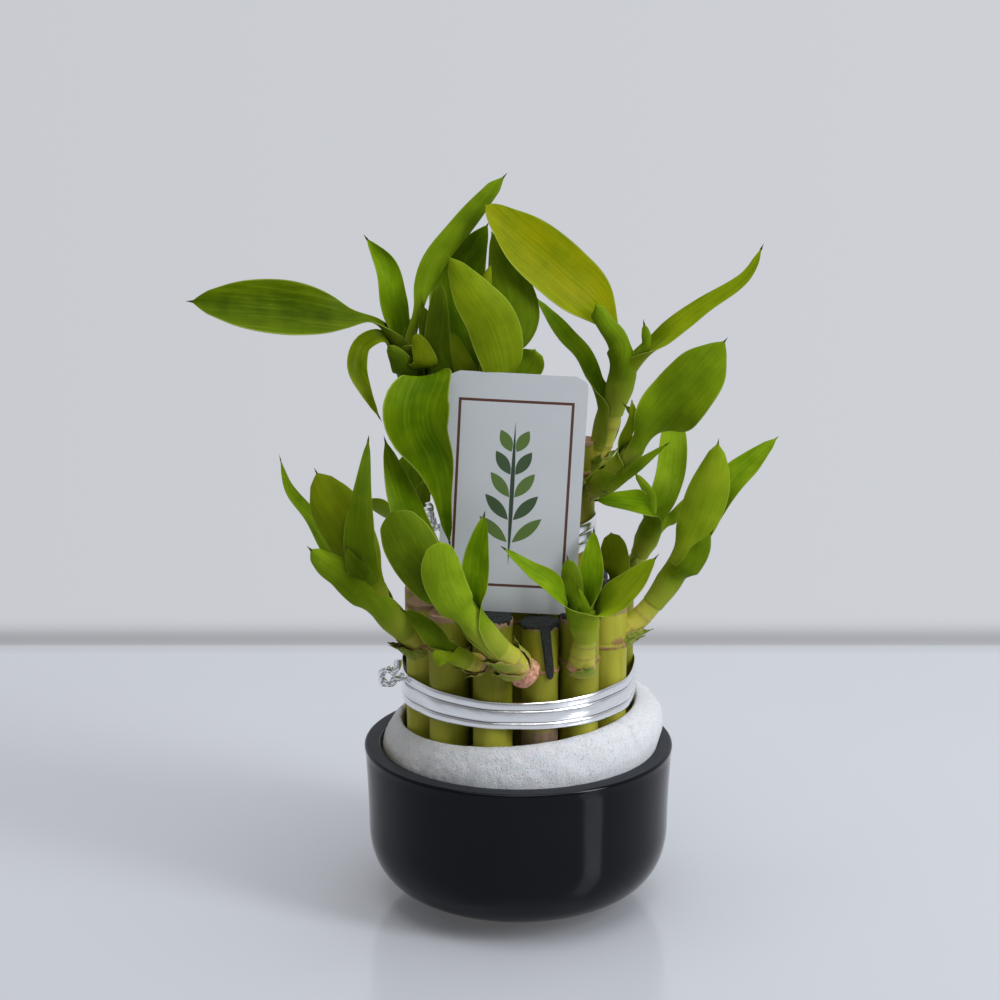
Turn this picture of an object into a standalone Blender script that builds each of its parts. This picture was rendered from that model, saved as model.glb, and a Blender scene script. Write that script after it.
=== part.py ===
"""Two-tier lucky bamboo: tied cut stalks with side shoots, standing in a black glazed pot.

Metres, +Z up. The origin is the middle of the pot's flat foot, on the surface that it stands on.
The front is -Y. Places and sizes in the tables below are written in millimetres.
"""
import math

import bmesh
import bpy
from mathutils import Quaternion, Vector

MM = 0.001
GAP = 0.3                 # clearance between neighbouring pieces
SMOOTH_ANGLE = math.radians(40)

# Pot
POT_HEIGHT = 56.0
FOOT_RADIUS = 27.0
FOOT_HEIGHT = 1.8
FOOT_STEP = 1.5           # how far the glaze stands out over the foot
BODY_RADIUS = 51.2
CURVE_HEIGHT = 26.0       # height of the rounded lower wall
LIP_RADIUS = 52.5
LIP_HEIGHT = 3.4
MOUTH_RADIUS = 46.6
FLOOR_Z = 7.0
FLOOR_RADIUS = 27.0
HOLLOW_CURVE_HEIGHT = 21.0
POT_SIDES = 48

# Foam collar, which is higher on its right side than on its left
COLLAR_INNER = 40.4
COLLAR_OUTER = MOUTH_RADIUS - GAP
COLLAR_BOTTOM = 30.0
COLLAR_TOP = 68.7
COLLAR_TILT = 6.8
COLLAR_ROUNDING = 5.0
COLLAR_SLOPE = (2.4, 3.4)  # width and height of the slope at its inner edge
COLLAR_BULGE = 1.6        # how far it swells over the rim on its right side

# Stalks: an outer ring, an inner ring and one stalk in the middle
STALK_RADIUS = 7.0
STALK_SIDES = 12
NODE_SWELL = 0.45         # how far a node ring stands out
NODE_HALF_HEIGHT = 1.6
OUTER_RING = 33.0
OUTER_TURNS = (11.5, 36.6, 62, 100, 133, 165, 195, 225, 257, 290.5, 316, 345)  # from the front
OUTER_BOTTOM = 13.5
OUTER_TOP = 110.0
OUTER_NODES = (94.0,)
INNER_COUNT = 8
INNER_RING = OUTER_RING - 2 * STALK_RADIUS - GAP
INNER_BOTTOM = FLOOR_Z + GAP
INNER_TOP = 162.0
INNER_NODES = (104.0, 149.0)

# Metal ribbon ties
TIE_THICKNESS = 0.7
TIE_ARC_STEPS = 3
TIES = {
    "lower_tie": {
        "span": (73.5, 84.5),
        "twist": ((-39.27, -10.52, 80), (-42.5, -11.4, 81), (-45, -12.5, 85)),
    },
    "upper_tie": {
        "span": (126.0, 136.0),
        "twist": ((-26.4, 0, 131.5), (-29, -0.6, 132), (-30, -4, 140)),
    },
}
TWIST_RADII = (2.0, 1.4)  # the knot of twisted ends, at the band and at its tip

# Card tag, which stands on the outer stalks and leans on the upper tie
TAG_WIDTH = 45.0
TAG_HEIGHT = 77.5
TAG_THICKNESS = 0.8
TAG_CORNER = 4.0
TAG_LEAN = 3.0            # degrees, clockwise seen from the front
TAG_SHIFT = -2.5          # how far it stands off the middle

# Leaves
LEAF_THICKNESS = 0.8
LEAF_EDGE_THINNING = 0.5  # share of the thickness that is lost at the edge
LEAF_STEPS = 8
LEAF_BASE_PHASE = 0.08    # how far into the blade's sine outline its base starts
LEAF_CUP = 0.22           # lift of the edges as a share of the half width

# Side stems and the ties' twisted ends
BRANCH_SIDES = 10
BRANCH_STEPS = 5

# Each shoot: the stalk it grows from, its stem's route, its radius low and high, and its leaves.
# Each leaf: (name, share of the stem where it leaves, middle, tip, width, direction it faces).
SHOOTS = {
    "left": ("outer_stalk_10", ((-31, -13, 92), (-38, -17, 100), (-45, -20, 110), (-48, -21, 119)),
             (4.5, 2.8), (
        ("leaf_left_low", 0.60, (-57, -32, 122), (-69, -35, 133), 12, (0.2, -0.8, 0.6)),
        ("leaf_left_broad", 0.92, (-61, -26, 141), (-66, -24, 157), 15, (0.2, -1.0, 0.1)),
        ("leaf_left_back", 0.80, (-69, -11, 138), (-79, -5, 157), 7, (0.6, -0.6, 0.5)),
        ("leaf_left_upright", 0.92, (-48, -13, 142), (-49, -8, 165), 8, (0.6, -0.8, 0.0)),
    )),
    "front": ("outer_stalk_01", ((7, -37, 91), (-2, -45, 100), (-12, -49, 109), (-18, -49, 117)),
              (4.5, 2.8), (
        ("leaf_front_broad", 0.86, (-23, -57, 128), (-25, -58, 142), 15, (0.1, -1.0, 0.2)),
        ("leaf_front_left", 0.97, (-33, -53, 135), (-41, -52, 151), 15, (0.2, -1.0, 0.1)),
        ("leaf_front_back", 0.80, (-35, -40, 147), (-43, -34, 170), 11, (0.3, -1.0, 0.2)),
        ("leaf_front_upright", 0.75, (-12, -45, 130), (-11, -40, 147), 8, (0.2, -1.0, 0.0)),
    )),
    "front_right": ("outer_stalk_02", ((21, -28, 90), (21, -34, 98), (21, -36, 106), (20, -37, 113)),
                    (4.8, 3.0), (
        ("leaf_front_right_left", 0.85, (6, -46, 125), (-6, -49, 138), 9, (0.2, -0.8, 0.6)),
        ("leaf_front_right_broad", 0.85, (34, -43, 121), (44, -44, 133), 12, (-0.3, -0.8, 0.6)),
        ("leaf_front_right_upright", 0.96, (24, -34, 127), (24, -29, 139), 8, (0.0, -1.0, 0.0)),
    )),
    "right": ("outer_stalk_03", ((32, -14, 96), (42, -12, 105), (50, -11, 116), (54, -11, 125)),
              (4.8, 3.0), (
        ("leaf_right_broad", 0.97, (61, -15, 144), (65, -12, 164), 14, (-0.1, -1.0, 0.1)),
        ("leaf_right_long", 0.88, (71, -4, 147), (86, 0, 162), 8, (-0.5, -0.8, 0.4)),
        ("leaf_right_sheath", 0.72, (58, -19, 125), (64, -22, 136), 8, (0.2, -1.0, 0.1)),
    )),
    "back_right": ("outer_stalk_04", ((33, 9, 102), (38, 10, 112), (42, 9, 121), (45, 8, 129)),
                   (4.4, 2.8), (
        ("leaf_back_right_tall", 0.95, (49, 10, 149), (52, 12, 165), 10, (0.0, -1.0, 0.1)),
        ("leaf_back_right_low", 0.88, (39, -3, 139), (29, -11, 144), 9, (0.2, -0.6, 0.8)),
    )),
    "top_right": ("inner_stalk_3", ((24, 1, 150), (28, 0, 161), (32, -2, 175), (35, -3, 188)),
                  (5.0, 3.0), (
        ("leaf_top_right_folded", 0.86, (35, -14, 198), (24, -16, 208), 13, (0.4, -0.9, 0.3)),
        ("leaf_top_right_long", 0.93, (60, -4, 206), (79, -1, 226), 10, (-0.4, -0.6, 0.7)),
        ("leaf_top_right_arching", 0.96, (11, -8, 217), (-11, -14, 241), 19, (0.5, -0.8, 0.4)),
        ("leaf_top_right_narrow", 0.55, (16, 8, 190), (5, 13, 206), 5, (0.4, -0.6, 0.8)),
    )),
    "mid_right": ("inner_stalk_3", ((23, -5, 145), (30, -14, 152), (36, -19, 160), (39, -21, 167)),
                  (4.5, 2.6), (
        ("leaf_mid_right_broad", 0.92, (52, -27, 181), (66, -25, 199), 20, (-0.4, -0.9, 0.3)),
    )),
    "top_left": ("inner_stalk_7", ((-24, -1, 149), (-30, -7, 164), (-34, -11, 181), (-37, -13, 197)),
                 (4.8, 3.0), (
        ("leaf_top_left_long", 0.93, (-72, -22, 208), (-105, -28, 212), 18, (0.1, -0.7, 0.7)),
        ("leaf_top_left_upright", 0.96, (-41, -9, 213), (-49, -7, 229), 9, (0.4, -0.9, 0.1)),
        ("leaf_top_left_hanging", 0.78, (-52, -22, 191), (-44, -27, 175), 7, (0.4, -0.9, 0.2)),
        ("leaf_top_left_tall", 0.97, (-25, -11, 222), (-3, -8, 250), 9, (0.7, -0.7, 0.2)),
        ("leaf_top_left_drooping", 0.70, (-31, -38, 174), (-22, -40, 136), 19, (0.1, -1.0, 0.0)),
    )),
    "top_centre": ("inner_stalk_1", ((-2, -20, 152), (-4, -22, 161), (-8, -21, 173), (-11, -18, 186)),
                   (3.4, 2.4), (
        ("leaf_top_centre_front", 0.80, (-12, -27, 208), (-22, -26, 225), 18, (0.2, -1.0, 0.2)),
        ("leaf_top_centre_back", 0.95, (-17, -5, 212), (-9, -2, 232), 12, (0.2, -1.0, 0.0)),
        ("leaf_top_centre_right", 0.95, (0, -11, 210), (-8, -7, 230), 10, (0.5, -0.9, 0.0)),
    )),
    "back_left": ("outer_stalk_08", ((-25, 27, 95), (-30, 35, 105), (-34, 40, 116), (-36, 42, 124)),
                  (4.5, 2.8), (
        ("leaf_back_left_tall", 0.95, (-38, 46, 132), (-40, 44, 146), 12, (0.2, 1.0, 0.0)),
        ("leaf_back_left_low", 0.75, (-48, 50, 123), (-60, 53, 126), 12, (-0.2, 0.7, 0.7)),
    )),
    "back": ("outer_stalk_06", ((8, 35, 94), (10, 43, 103), (12, 48, 113), (13, 50, 121)),
             (4.5, 2.8), (
        ("leaf_back_tall", 0.95, (12, 56, 136), (8, 56, 150), 13, (0.0, 1.0, 0.1)),
        ("leaf_back_low", 0.78, (25, 55, 124), (38, 60, 131), 11, (0.2, 0.6, 0.8)),
        ("leaf_back_left_side", 0.86, (0, 58, 128), (-10, 63, 138), 11, (-0.2, 0.7, 0.7)),
    )),
}


def clear_scene():
    """Take out whatever the file already holds."""
    for old in list(bpy.data.objects):
        bpy.data.objects.remove(old, do_unlink=True)


def make_material(name, color, roughness, metallic=0.0):
    material = bpy.data.materials.new(name)
    material.use_nodes = True
    shader = material.node_tree.nodes["Principled BSDF"]
    shader.inputs["Base Color"].default_value = (*color, 1.0)
    shader.inputs["Roughness"].default_value = roughness
    shader.inputs["Metallic"].default_value = metallic
    material.diffuse_color = (*color, 1.0)
    return material


def make_materials():
    return {
        "pot": make_material("black_glaze", (0.010, 0.010, 0.014), 0.12),
        "foam": make_material("white_foam", (0.80, 0.80, 0.82), 0.85),
        "tie": make_material("silver_ribbon", (0.72, 0.73, 0.75), 0.28, 1.0),
        "tag": make_material("tag_card", (0.62, 0.64, 0.67), 0.40),
        "stalk": make_material("stalk_green", (0.20, 0.24, 0.03), 0.45),
        "leaf": make_material("leaf_green", (0.11, 0.26, 0.01), 0.38),
    }


def loft(rings, cyclic=False, tip=None):
    """Skin a list of equal rings of points, closed by caps, by a tip point or into a loop."""
    mesh = bmesh.new()
    rows = [[mesh.verts.new(point) for point in ring] for ring in rings]
    sides = len(rows[0])
    pairs = list(zip(rows[:-1], rows[1:]))
    if cyclic:
        pairs.append((rows[-1], rows[0]))
    for low, high in pairs:
        for i in range(sides):
            j = (i + 1) % sides
            mesh.faces.new((low[i], low[j], high[j], high[i]))
    if not cyclic:
        mesh.faces.new(list(reversed(rows[0])))
    if tip is not None:
        point = mesh.verts.new(tip)
        for i in range(sides):
            mesh.faces.new((rows[-1][i], rows[-1][(i + 1) % sides], point))
    elif not cyclic:
        mesh.faces.new(rows[-1])
    bmesh.ops.recalc_face_normals(mesh, faces=mesh.faces)
    return mesh


def add_object(name, mesh, material, place=(0.0, 0.0, 0.0), parent=None):
    """Turn a bmesh in millimetres into a named object in metres."""
    bmesh.ops.scale(mesh, vec=(MM, MM, MM), verts=mesh.verts)
    data = bpy.data.meshes.new(name)
    mesh.to_mesh(data)
    mesh.free()
    data.shade_smooth()
    data.set_sharp_from_angle(angle=SMOOTH_ANGLE)
    data.materials.append(material)
    piece = bpy.data.objects.new(name, data)
    piece.location = Vector(place) * MM
    piece.parent = parent
    bpy.context.scene.collection.objects.link(piece)
    return piece


def circle(radius, z, sides, centre=(0.0, 0.0)):
    """A level ring of points, counted round from +X."""
    turns = [2 * math.pi * i / sides for i in range(sides)]
    return [Vector((centre[0] + radius * math.cos(a), centre[1] + radius * math.sin(a), z))
            for a in turns]


def ring_place(radius, turn):
    """Centre of a stalk in a ring, at a turn in degrees from the front to the right."""
    angle = math.radians(turn)
    return Vector((radius * math.sin(angle), -radius * math.cos(angle), 0.0))


def outer_places():
    """The outer stalks are packed close at the front and stand looser at the back."""
    return [ring_place(OUTER_RING, turn) for turn in OUTER_TURNS]


def inner_places():
    return [ring_place(INNER_RING, 360 * i / INNER_COUNT) for i in range(INNER_COUNT)]


def pot_profile():
    """(radius, height) from the edge of the foot, up the outside and down the inside."""
    profile = [(FOOT_RADIUS, 0.0), (FOOT_RADIUS, FOOT_HEIGHT)]
    reach = BODY_RADIUS - FOOT_RADIUS - FOOT_STEP
    for step in range(1, 9):
        angle = math.radians(90 * step / 8)
        profile.append((FOOT_RADIUS + FOOT_STEP + reach * math.sin(angle),
                        FOOT_HEIGHT + CURVE_HEIGHT * (1 - math.cos(angle))))
    lip_bottom = POT_HEIGHT - LIP_HEIGHT
    profile += [
        (BODY_RADIUS, lip_bottom),
        (LIP_RADIUS - 0.4, lip_bottom + 0.8),
        (LIP_RADIUS, POT_HEIGHT - 1.2),
        (LIP_RADIUS - 0.3, POT_HEIGHT - 0.4),
        (LIP_RADIUS - 1.1, POT_HEIGHT),
        (MOUTH_RADIUS + 0.8, POT_HEIGHT),
        (MOUTH_RADIUS, POT_HEIGHT - 0.8),
    ]
    hollow_reach = MOUTH_RADIUS - FLOOR_RADIUS
    for step in range(0, 6):
        angle = math.radians(90 - 90 * step / 5)
        profile.append((FLOOR_RADIUS + hollow_reach * math.sin(angle),
                        FLOOR_Z + HOLLOW_CURVE_HEIGHT * (1 - math.cos(angle))))
    return profile


def make_pot(materials, parent):
    rings = [circle(radius, z, POT_SIDES) for radius, z in pot_profile()]
    return add_object("pot", loft(rings), materials["pot"], parent=parent)


def make_collar(materials, parent):
    """A foam ring between the stalks and the pot, with a rounded and slightly tilted top."""
    rings = []
    for side in range(POT_SIDES):
        angle = 2 * math.pi * side / POT_SIDES
        top = COLLAR_TOP + COLLAR_TILT * math.cos(angle)
        outer = COLLAR_OUTER + COLLAR_BULGE * max(0.0, math.cos(angle))
        section = [(COLLAR_INNER, COLLAR_BOTTOM), (COLLAR_OUTER, COLLAR_BOTTOM),
                   (COLLAR_OUTER, POT_HEIGHT), (outer, top - COLLAR_ROUNDING),
                   (outer - 0.9, top - 0.35 * COLLAR_ROUNDING),
                   (outer - 2.6, top), (COLLAR_INNER + COLLAR_SLOPE[0], top),
                   (COLLAR_INNER, top - COLLAR_SLOPE[1])]
        rings.append([Vector((r * math.cos(angle), r * math.sin(angle), z)) for r, z in section])
    return add_object("foam_collar", loft(rings, cyclic=True), materials["foam"], parent=parent)


def stalk_rings(bottom, top, nodes):
    """Rings of a straight cut stalk, wider at each node, about the Z axis from its bottom."""
    levels = [(bottom, STALK_RADIUS)]
    for node in nodes:
        levels += [(node - NODE_HALF_HEIGHT, STALK_RADIUS),
                   (node, STALK_RADIUS + NODE_SWELL),
                   (node + NODE_HALF_HEIGHT, STALK_RADIUS)]
    levels.append((top, STALK_RADIUS))
    return [circle(radius - NODE_SWELL, z - bottom, STALK_SIDES) for z, radius in levels]


def make_stalk(name, place, bottom, top, nodes, materials, parent):
    """Its plain stretches are thinner by the node's swell, so that two nodes side by side clear."""
    mesh = loft(stalk_rings(bottom, top, nodes))
    return add_object(name, mesh, materials["stalk"], (place.x, place.y, bottom), parent)


def make_stalks(materials, parent):
    stalks = {}
    for i, place in enumerate(outer_places()):
        name = f"outer_stalk_{i + 1:02d}"
        stalks[name] = make_stalk(name, place, OUTER_BOTTOM, OUTER_TOP, OUTER_NODES,
                                  materials, parent)
    for i, place in enumerate(inner_places()):
        name = f"inner_stalk_{i + 1}"
        stalks[name] = make_stalk(name, place, INNER_BOTTOM, INNER_TOP, INNER_NODES,
                                  materials, parent)
    stalks["core_stalk"] = make_stalk("core_stalk", Vector(), INNER_BOTTOM, INNER_TOP, INNER_NODES,
                                      materials, parent)
    return stalks


def band_outline(centres, radius):
    """The tight loop round a ring of stalks: an arc on each stalk, straight from one to the next."""
    outline = []
    for before, centre, after in zip(centres[-1:] + centres[:-1], centres, centres[1:] + centres[:1]):
        first = (centre - before).cross(Vector((0.0, 0.0, 1.0))).normalized()
        last = (after - centre).cross(Vector((0.0, 0.0, 1.0))).normalized()
        for step in range(TIE_ARC_STEPS + 1):
            way = first.lerp(last, step / TIE_ARC_STEPS).normalized()
            outline.append((centre.x + radius * way.x, centre.y + radius * way.y))
    return outline


def make_tie(name, centres, materials, parent):
    """A ribbon round a ring of stalks, with its two ends twisted together on the left."""
    inner = band_outline(centres, STALK_RADIUS + GAP)
    outer = band_outline(centres, STALK_RADIUS + GAP + TIE_THICKNESS)
    low, high = TIES[name]["span"]
    rings = [[Vector((*a, low)), Vector((*b, low)), Vector((*b, high)), Vector((*a, high))]
             for a, b in zip(inner, outer)]
    band = add_object(name, loft(rings, cyclic=True), materials["tie"], parent=parent)
    twist = [Vector(point) for point in TIES[name]["twist"]]
    join_branch("twist", band, twist, TWIST_RADII, materials["tie"], parent)


def make_tag(materials, parent):
    """A card with rounded corners, standing just in front of the upper tie."""
    outline = []
    for corner, (sx, sz) in enumerate(((1, 1), (-1, 1), (-1, -1), (1, -1))):
        for step in range(5):
            angle = math.radians(90 * corner + 90 * step / 4)
            outline.append((sx * (TAG_WIDTH / 2 - TAG_CORNER) + TAG_CORNER * math.cos(angle),
                            sz * (TAG_HEIGHT / 2 - TAG_CORNER) + TAG_CORNER * math.sin(angle)))
    rings = [[Vector((x, y, z)) for x, z in outline] for y in (0.0, TAG_THICKNESS)]
    back = -(INNER_RING + STALK_RADIUS + GAP + TIE_THICKNESS + GAP)
    lean = math.radians(TAG_LEAN)
    half_span = TAG_HEIGHT / 2 * math.cos(lean) + (TAG_WIDTH / 2 - TAG_CORNER) * math.sin(lean)
    place = (TAG_SHIFT, back - TAG_THICKNESS, OUTER_TOP + GAP + half_span)
    tag = add_object("tag", loft(rings), materials["tag"], place, parent)
    tag.rotation_euler = (0.0, lean, 0.0)
    return tag


def curve_point(points, share):
    """A point on the smooth curve through the given points, and the direction there."""
    spans = len(points) - 1
    place = min(max(share, 0.0), 1.0) * spans
    i = min(int(place), spans - 1)
    t = place - i
    a, b = points[i], points[i + 1]
    before = points[i - 1] if i > 0 else a * 2 - b
    after = points[i + 2] if i + 2 <= spans else b * 2 - a
    m, n = (b - before) / 2, (after - a) / 2
    point = (a * (2 * t ** 3 - 3 * t ** 2 + 1) + m * (t ** 3 - 2 * t ** 2 + t)
             + b * (3 * t ** 2 - 2 * t ** 3) + n * (t ** 3 - t ** 2))
    slope = (a * (6 * t ** 2 - 6 * t) + m * (3 * t ** 2 - 4 * t + 1)
             + b * (6 * t - 6 * t ** 2) + n * (3 * t ** 2 - 2 * t))
    return point, slope.normalized()


def across(direction, hint):
    """The part of the hint that lies square to the direction."""
    return (hint - direction * hint.dot(direction)).normalized()


def branch_rings(route, radii):
    """Round rings along a smooth route, its radius changing evenly from one end to the other."""
    rings = []
    for step in range(BRANCH_STEPS + 1):
        share = step / BRANCH_STEPS
        centre, along = curve_point(route, share)
        side = across(along, Vector((1.0, 0.0, 0.0)))
        other = along.cross(side)
        radius = radii[0] + (radii[1] - radii[0]) * share
        turns = [2 * math.pi * i / BRANCH_SIDES for i in range(BRANCH_SIDES)]
        rings.append([centre + (side * math.cos(a) + other * math.sin(a)) * radius for a in turns])
    return rings


def join_branch(name, carrier, route, radii, material, parent):
    """A branch is one growth with the piece that it leaves, so the two become one solid."""
    branch = add_object(f"{carrier.name}_{name}", loft(branch_rings(route, radii)), material,
                        parent=parent)
    branch.hide_render = True
    branch.display_type = "WIRE"
    join = carrier.modifiers.new(f"join_{name}", "BOOLEAN")
    join.operation = "UNION"
    join.solver = "EXACT"
    join.object = branch


def leaf_base(route, radii, share, middle):
    """Where a leaf starts, clear of its stem, with the stem's direction and the way outward."""
    centre, along = curve_point(route, share)
    outward = across(along, middle - centre)
    radius = radii[0] + (radii[1] - radii[0]) * share
    return centre + outward * (radius + GAP + LEAF_THICKNESS / 2), along, outward


def leaf_section(centre, side, normal, half_width):
    """The blade's cut: cupped towards its upper side, thickest at the midrib."""
    shares = (-1.0, -0.5, 0.0, 0.5, 1.0)
    faces = []
    for sign in (1.0, -1.0):
        face = []
        for share in shares:
            lift = LEAF_CUP * half_width * abs(share) ** 1.5
            half_thickness = LEAF_THICKNESS / 2 * (1 - LEAF_EDGE_THINNING * abs(share))
            face.append(centre + side * (share * half_width) + normal * (lift + sign * half_thickness))
        faces.append(face)
    upper, lower = faces
    return upper + lower[::-1]


def leaf_frames(base, middle, tip, first, face):
    """Centre, direction and normal along the blade, rolled by halfway to face the given way."""
    handle = middle * 2 - (base + tip) / 2
    frames = []
    normal = first
    for step in range(LEAF_STEPS):
        t = step / LEAF_STEPS
        centre = base * (1 - t) ** 2 + handle * (2 * t * (1 - t)) + tip * t ** 2
        ahead = ((handle - base) * (1 - t) + (tip - handle) * t).normalized()
        normal = across(ahead, normal)
        frames.append((centre, ahead, normal))
    _, ahead, normal = frames[LEAF_STEPS // 2]
    wanted = across(ahead, face)
    if wanted.dot(normal) < 0:
        wanted = -wanted
    roll = math.atan2(normal.cross(wanted).dot(ahead), normal.dot(wanted))
    return [(centre, ahead, Quaternion(ahead, roll * min(1.0, 2 * step / LEAF_STEPS)) @ normal)
            for step, (centre, ahead, normal) in enumerate(frames)]


def leaf_mesh(base, middle, tip, width, along, outward, face):
    """A pointed blade on the smooth arc through base, middle and tip."""
    rings = []
    for step, (centre, ahead, normal) in enumerate(
            leaf_frames(base, middle, tip, along - outward, face)):
        phase = LEAF_BASE_PHASE + (1 - LEAF_BASE_PHASE) * step / LEAF_STEPS
        half_width = width / 2 * math.sin(math.pi * phase)
        rings.append(leaf_section(centre, ahead.cross(normal), normal, half_width))
    return loft(rings, tip=tip)


def make_leaf(leaf, route, radii, materials, parent):
    name, share, middle, tip, width, face = leaf
    middle, tip, face = Vector(middle), Vector(tip), Vector(face).normalized()
    base, along, outward = leaf_base(route, radii, share, middle)
    mesh = leaf_mesh(Vector(), middle - base, tip - base, width, along, outward, face)
    return add_object(name, mesh, materials["leaf"], base, parent)


def make_shoots(stalks, materials, parent):
    for shoot, (stalk, route, radii, leaves) in SHOOTS.items():
        route = [Vector(point) for point in route]
        join_branch(f"stem_{shoot}", stalks[stalk], route, radii, materials["stalk"], parent)
        for leaf in leaves:
            make_leaf(leaf, route, radii, materials, parent)


def main():
    clear_scene()
    materials = make_materials()
    plant = bpy.data.objects.new("lucky_bamboo", None)
    bpy.context.scene.collection.objects.link(plant)
    make_pot(materials, plant)
    make_collar(materials, plant)
    stalks = make_stalks(materials, plant)
    make_tie("lower_tie", outer_places(), materials, plant)
    make_tie("upper_tie", inner_places(), materials, plant)
    make_tag(materials, plant)
    make_shoots(stalks, materials, plant)


main()
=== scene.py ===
"""Looks of the two-tier lucky bamboo: its leaves, stalks, ties, tag, foam and glazed pot.

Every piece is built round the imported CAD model, in metres, +Z up, with the front towards -Y.
The places and sizes in the tables are in millimetres, as in the CAD source.
"""

import math

import bpy
import numpy as np
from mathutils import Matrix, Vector, noise


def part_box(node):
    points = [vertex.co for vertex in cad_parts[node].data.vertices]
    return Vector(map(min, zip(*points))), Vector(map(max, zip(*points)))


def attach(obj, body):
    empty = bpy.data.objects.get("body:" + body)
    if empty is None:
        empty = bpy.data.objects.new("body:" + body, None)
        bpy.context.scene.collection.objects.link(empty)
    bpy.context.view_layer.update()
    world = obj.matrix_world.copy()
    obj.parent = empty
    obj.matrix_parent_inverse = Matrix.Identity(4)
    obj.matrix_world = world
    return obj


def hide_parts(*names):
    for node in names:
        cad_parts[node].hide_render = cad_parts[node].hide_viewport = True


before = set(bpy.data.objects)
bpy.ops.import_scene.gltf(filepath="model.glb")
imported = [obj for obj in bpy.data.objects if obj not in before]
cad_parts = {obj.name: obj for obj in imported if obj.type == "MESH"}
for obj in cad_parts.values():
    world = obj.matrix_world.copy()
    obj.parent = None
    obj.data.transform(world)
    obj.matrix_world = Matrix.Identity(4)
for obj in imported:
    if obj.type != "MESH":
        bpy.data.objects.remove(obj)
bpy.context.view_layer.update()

MM = 0.001
UP = np.array((0.0, 0.0, 1.0))
FULL_TURN = 2 * math.pi
QUARTER = math.pi / 2

# Camera and studio
CAMERA_PLACE = (-0.00626, -0.77383, 0.34025)
CAMERA_PITCH = 14.495            # degrees below level
CAMERA_LENS = 86.4
TABLE_BACK = 0.276               # how far behind the pot the table ends
EDGE_SLOPE = -0.3213             # the way down from the camera to the painted shadow line behind it
EDGE_BLUR = 0.0044

# Pot
LIP_EDGE = 1.0                   # radius of the lip's outer edge
HOLLOW_FLOOR, HOLLOW_FLOOR_RADIUS = 7.0, 27.0
GLAZE_BOTTOM = 3.1               # bare clay below
POT_SIDES = 144

# Foam ring
FOAM_OUTER = 46.2
FOAM_WIDTH = 6.8
FOAM_EDGE = 56.2                 # where its slope begins, at the pot's rim
FOAM_TILT = 3.6
FOAM_NICK = math.radians(323)    # where its top has a nick, from the right
FOAM_SIDES = 360

# Stalks
OUTER_TURNS = (11.5, 36.6, 62, 100, 133, 165, 195, 225, 257, 290.5, 316, 345)  # from the front
INNER_TURNS = range(0, 360, 45)
OUTER_NODE, INNER_NODES = 94.0, (104.0, 149.0)   # usual heights of the node rings
NODE_LIFTS = {1: -1.5, 2: 0.0, 3: 1.5, 4: 0.0, 10: 1.0, 11: 2.5, 12: 2.0}
STALK_RADIUS = 6.55
BARK_STALK = 1                   # the outer stalk with a bark-coloured foot and a long run of wax
BARK_RADIUS, BARK_TOP = 6.1, 73.5
# how pale each outer stalk is: partly its own tone and partly painted light, stalks 3 and 10 at the
# two sides being painted palest as if lit
STALK_TONES_AND_LIGHT = {1: 0.35, 2: 0.5, 3: 1.0, 10: 1.0, 11: 0.4, 12: 0.2}
STALK_BOUNCE_LIGHT = {12: 0.8}          # how much paler a stalk is painted at its bottom: painted light, as if bounced up from the foam
STALK_SCARS = {3: ((-50, 97.0),), 10: ((-120, 95.0),), 11: ((-100, 96.0), (-60, 92.0)),
               12: ((-110, 95.0),)}      # way from the stalk's axis and height of each scar
OUTER_WITHOUT_WAX = (3, 9, 10, 11)
INNER_WITHOUT_WAX = (3,)
STALK_SIDES = 40
STALK_STEP = 2.0                 # height between plain rings
NODE_STEP = 0.3                  # height between rings at a node
NODE_REACH = 2.4                 # how far a node's shape goes up and down
WAX_SIDES = 72
WAX_RUN = (math.radians(-76), 17.0, 0.24, math.radians(14))   # way, length, half width, slant

# Ties and tag
LOWER_TIE = (73.1, 84.4)         # lowest and highest edge
UPPER_TIE = (126.0, 136.0)
RIBBON_GAP = 7.1                 # from the stalks' axes out to the ribbon
RIBBON_STEPS = 240
RIBBON_BACK = (1.0, 0.66, 0.33, 0.0)     # shares of its height with a point on its inner side
TAUT = 0.7                       # 1 where the ribbon runs straight from stalk to stalk
TAG_WIDTH, TAG_HEIGHT = 45.0, 79.0
TAG_COLUMNS, TAG_ROWS = 41, 61
TAG_CORNER, TAG_THICKNESS = 4.0, 0.6
TAG_LEAN = math.radians(3.0)
TAG_DROP = 0.75                  # how far its middle lies under the CAD card's

# Stems and leaves
STEM_ROWS, STEM_SIDES = 65, 28
LEAF_ROWS = 48
SHEATH_ROWS = 12
LEAF_COLUMNS = 15
LEAF_THICKNESS = 0.45
SPIKE_LENGTH = 1.8               # the fine dry point at a leaf's tip
SPIKE_HALF_WIDTH = 0.35
SHEATH_WRAP = 2.3                # how far a leaf's base goes round the stem to each side
LEAVING_WRAP = 1.8               # the same where the blade leaves the stem
SHEATH_OFFSET = 0.35             # the innermost sheath over the stem
LAYER_STEP = 0.35                # one sheath over another
SCALE_STEP = 0.3                 # the same for scales
WIDTH_SHARES = (0.0, 0.2, 0.4, 0.6, 0.8, 0.93)   # where along a leaf its widths are given
BLUNT_WIDTH = 8.5                # leaves wider than this near the tip have round ends
OLD_LEAVES = (0.16, 0.30, 0.46, 0.64, 0.82)      # shares of a stem with a faint ring


def blade(name, share, points, widths, tone=0.0, face=(0, -1, 0), **look):
    """A leaf for the table below."""
    return name, share, points, widths, face, dict(look, tone=tone)


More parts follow.
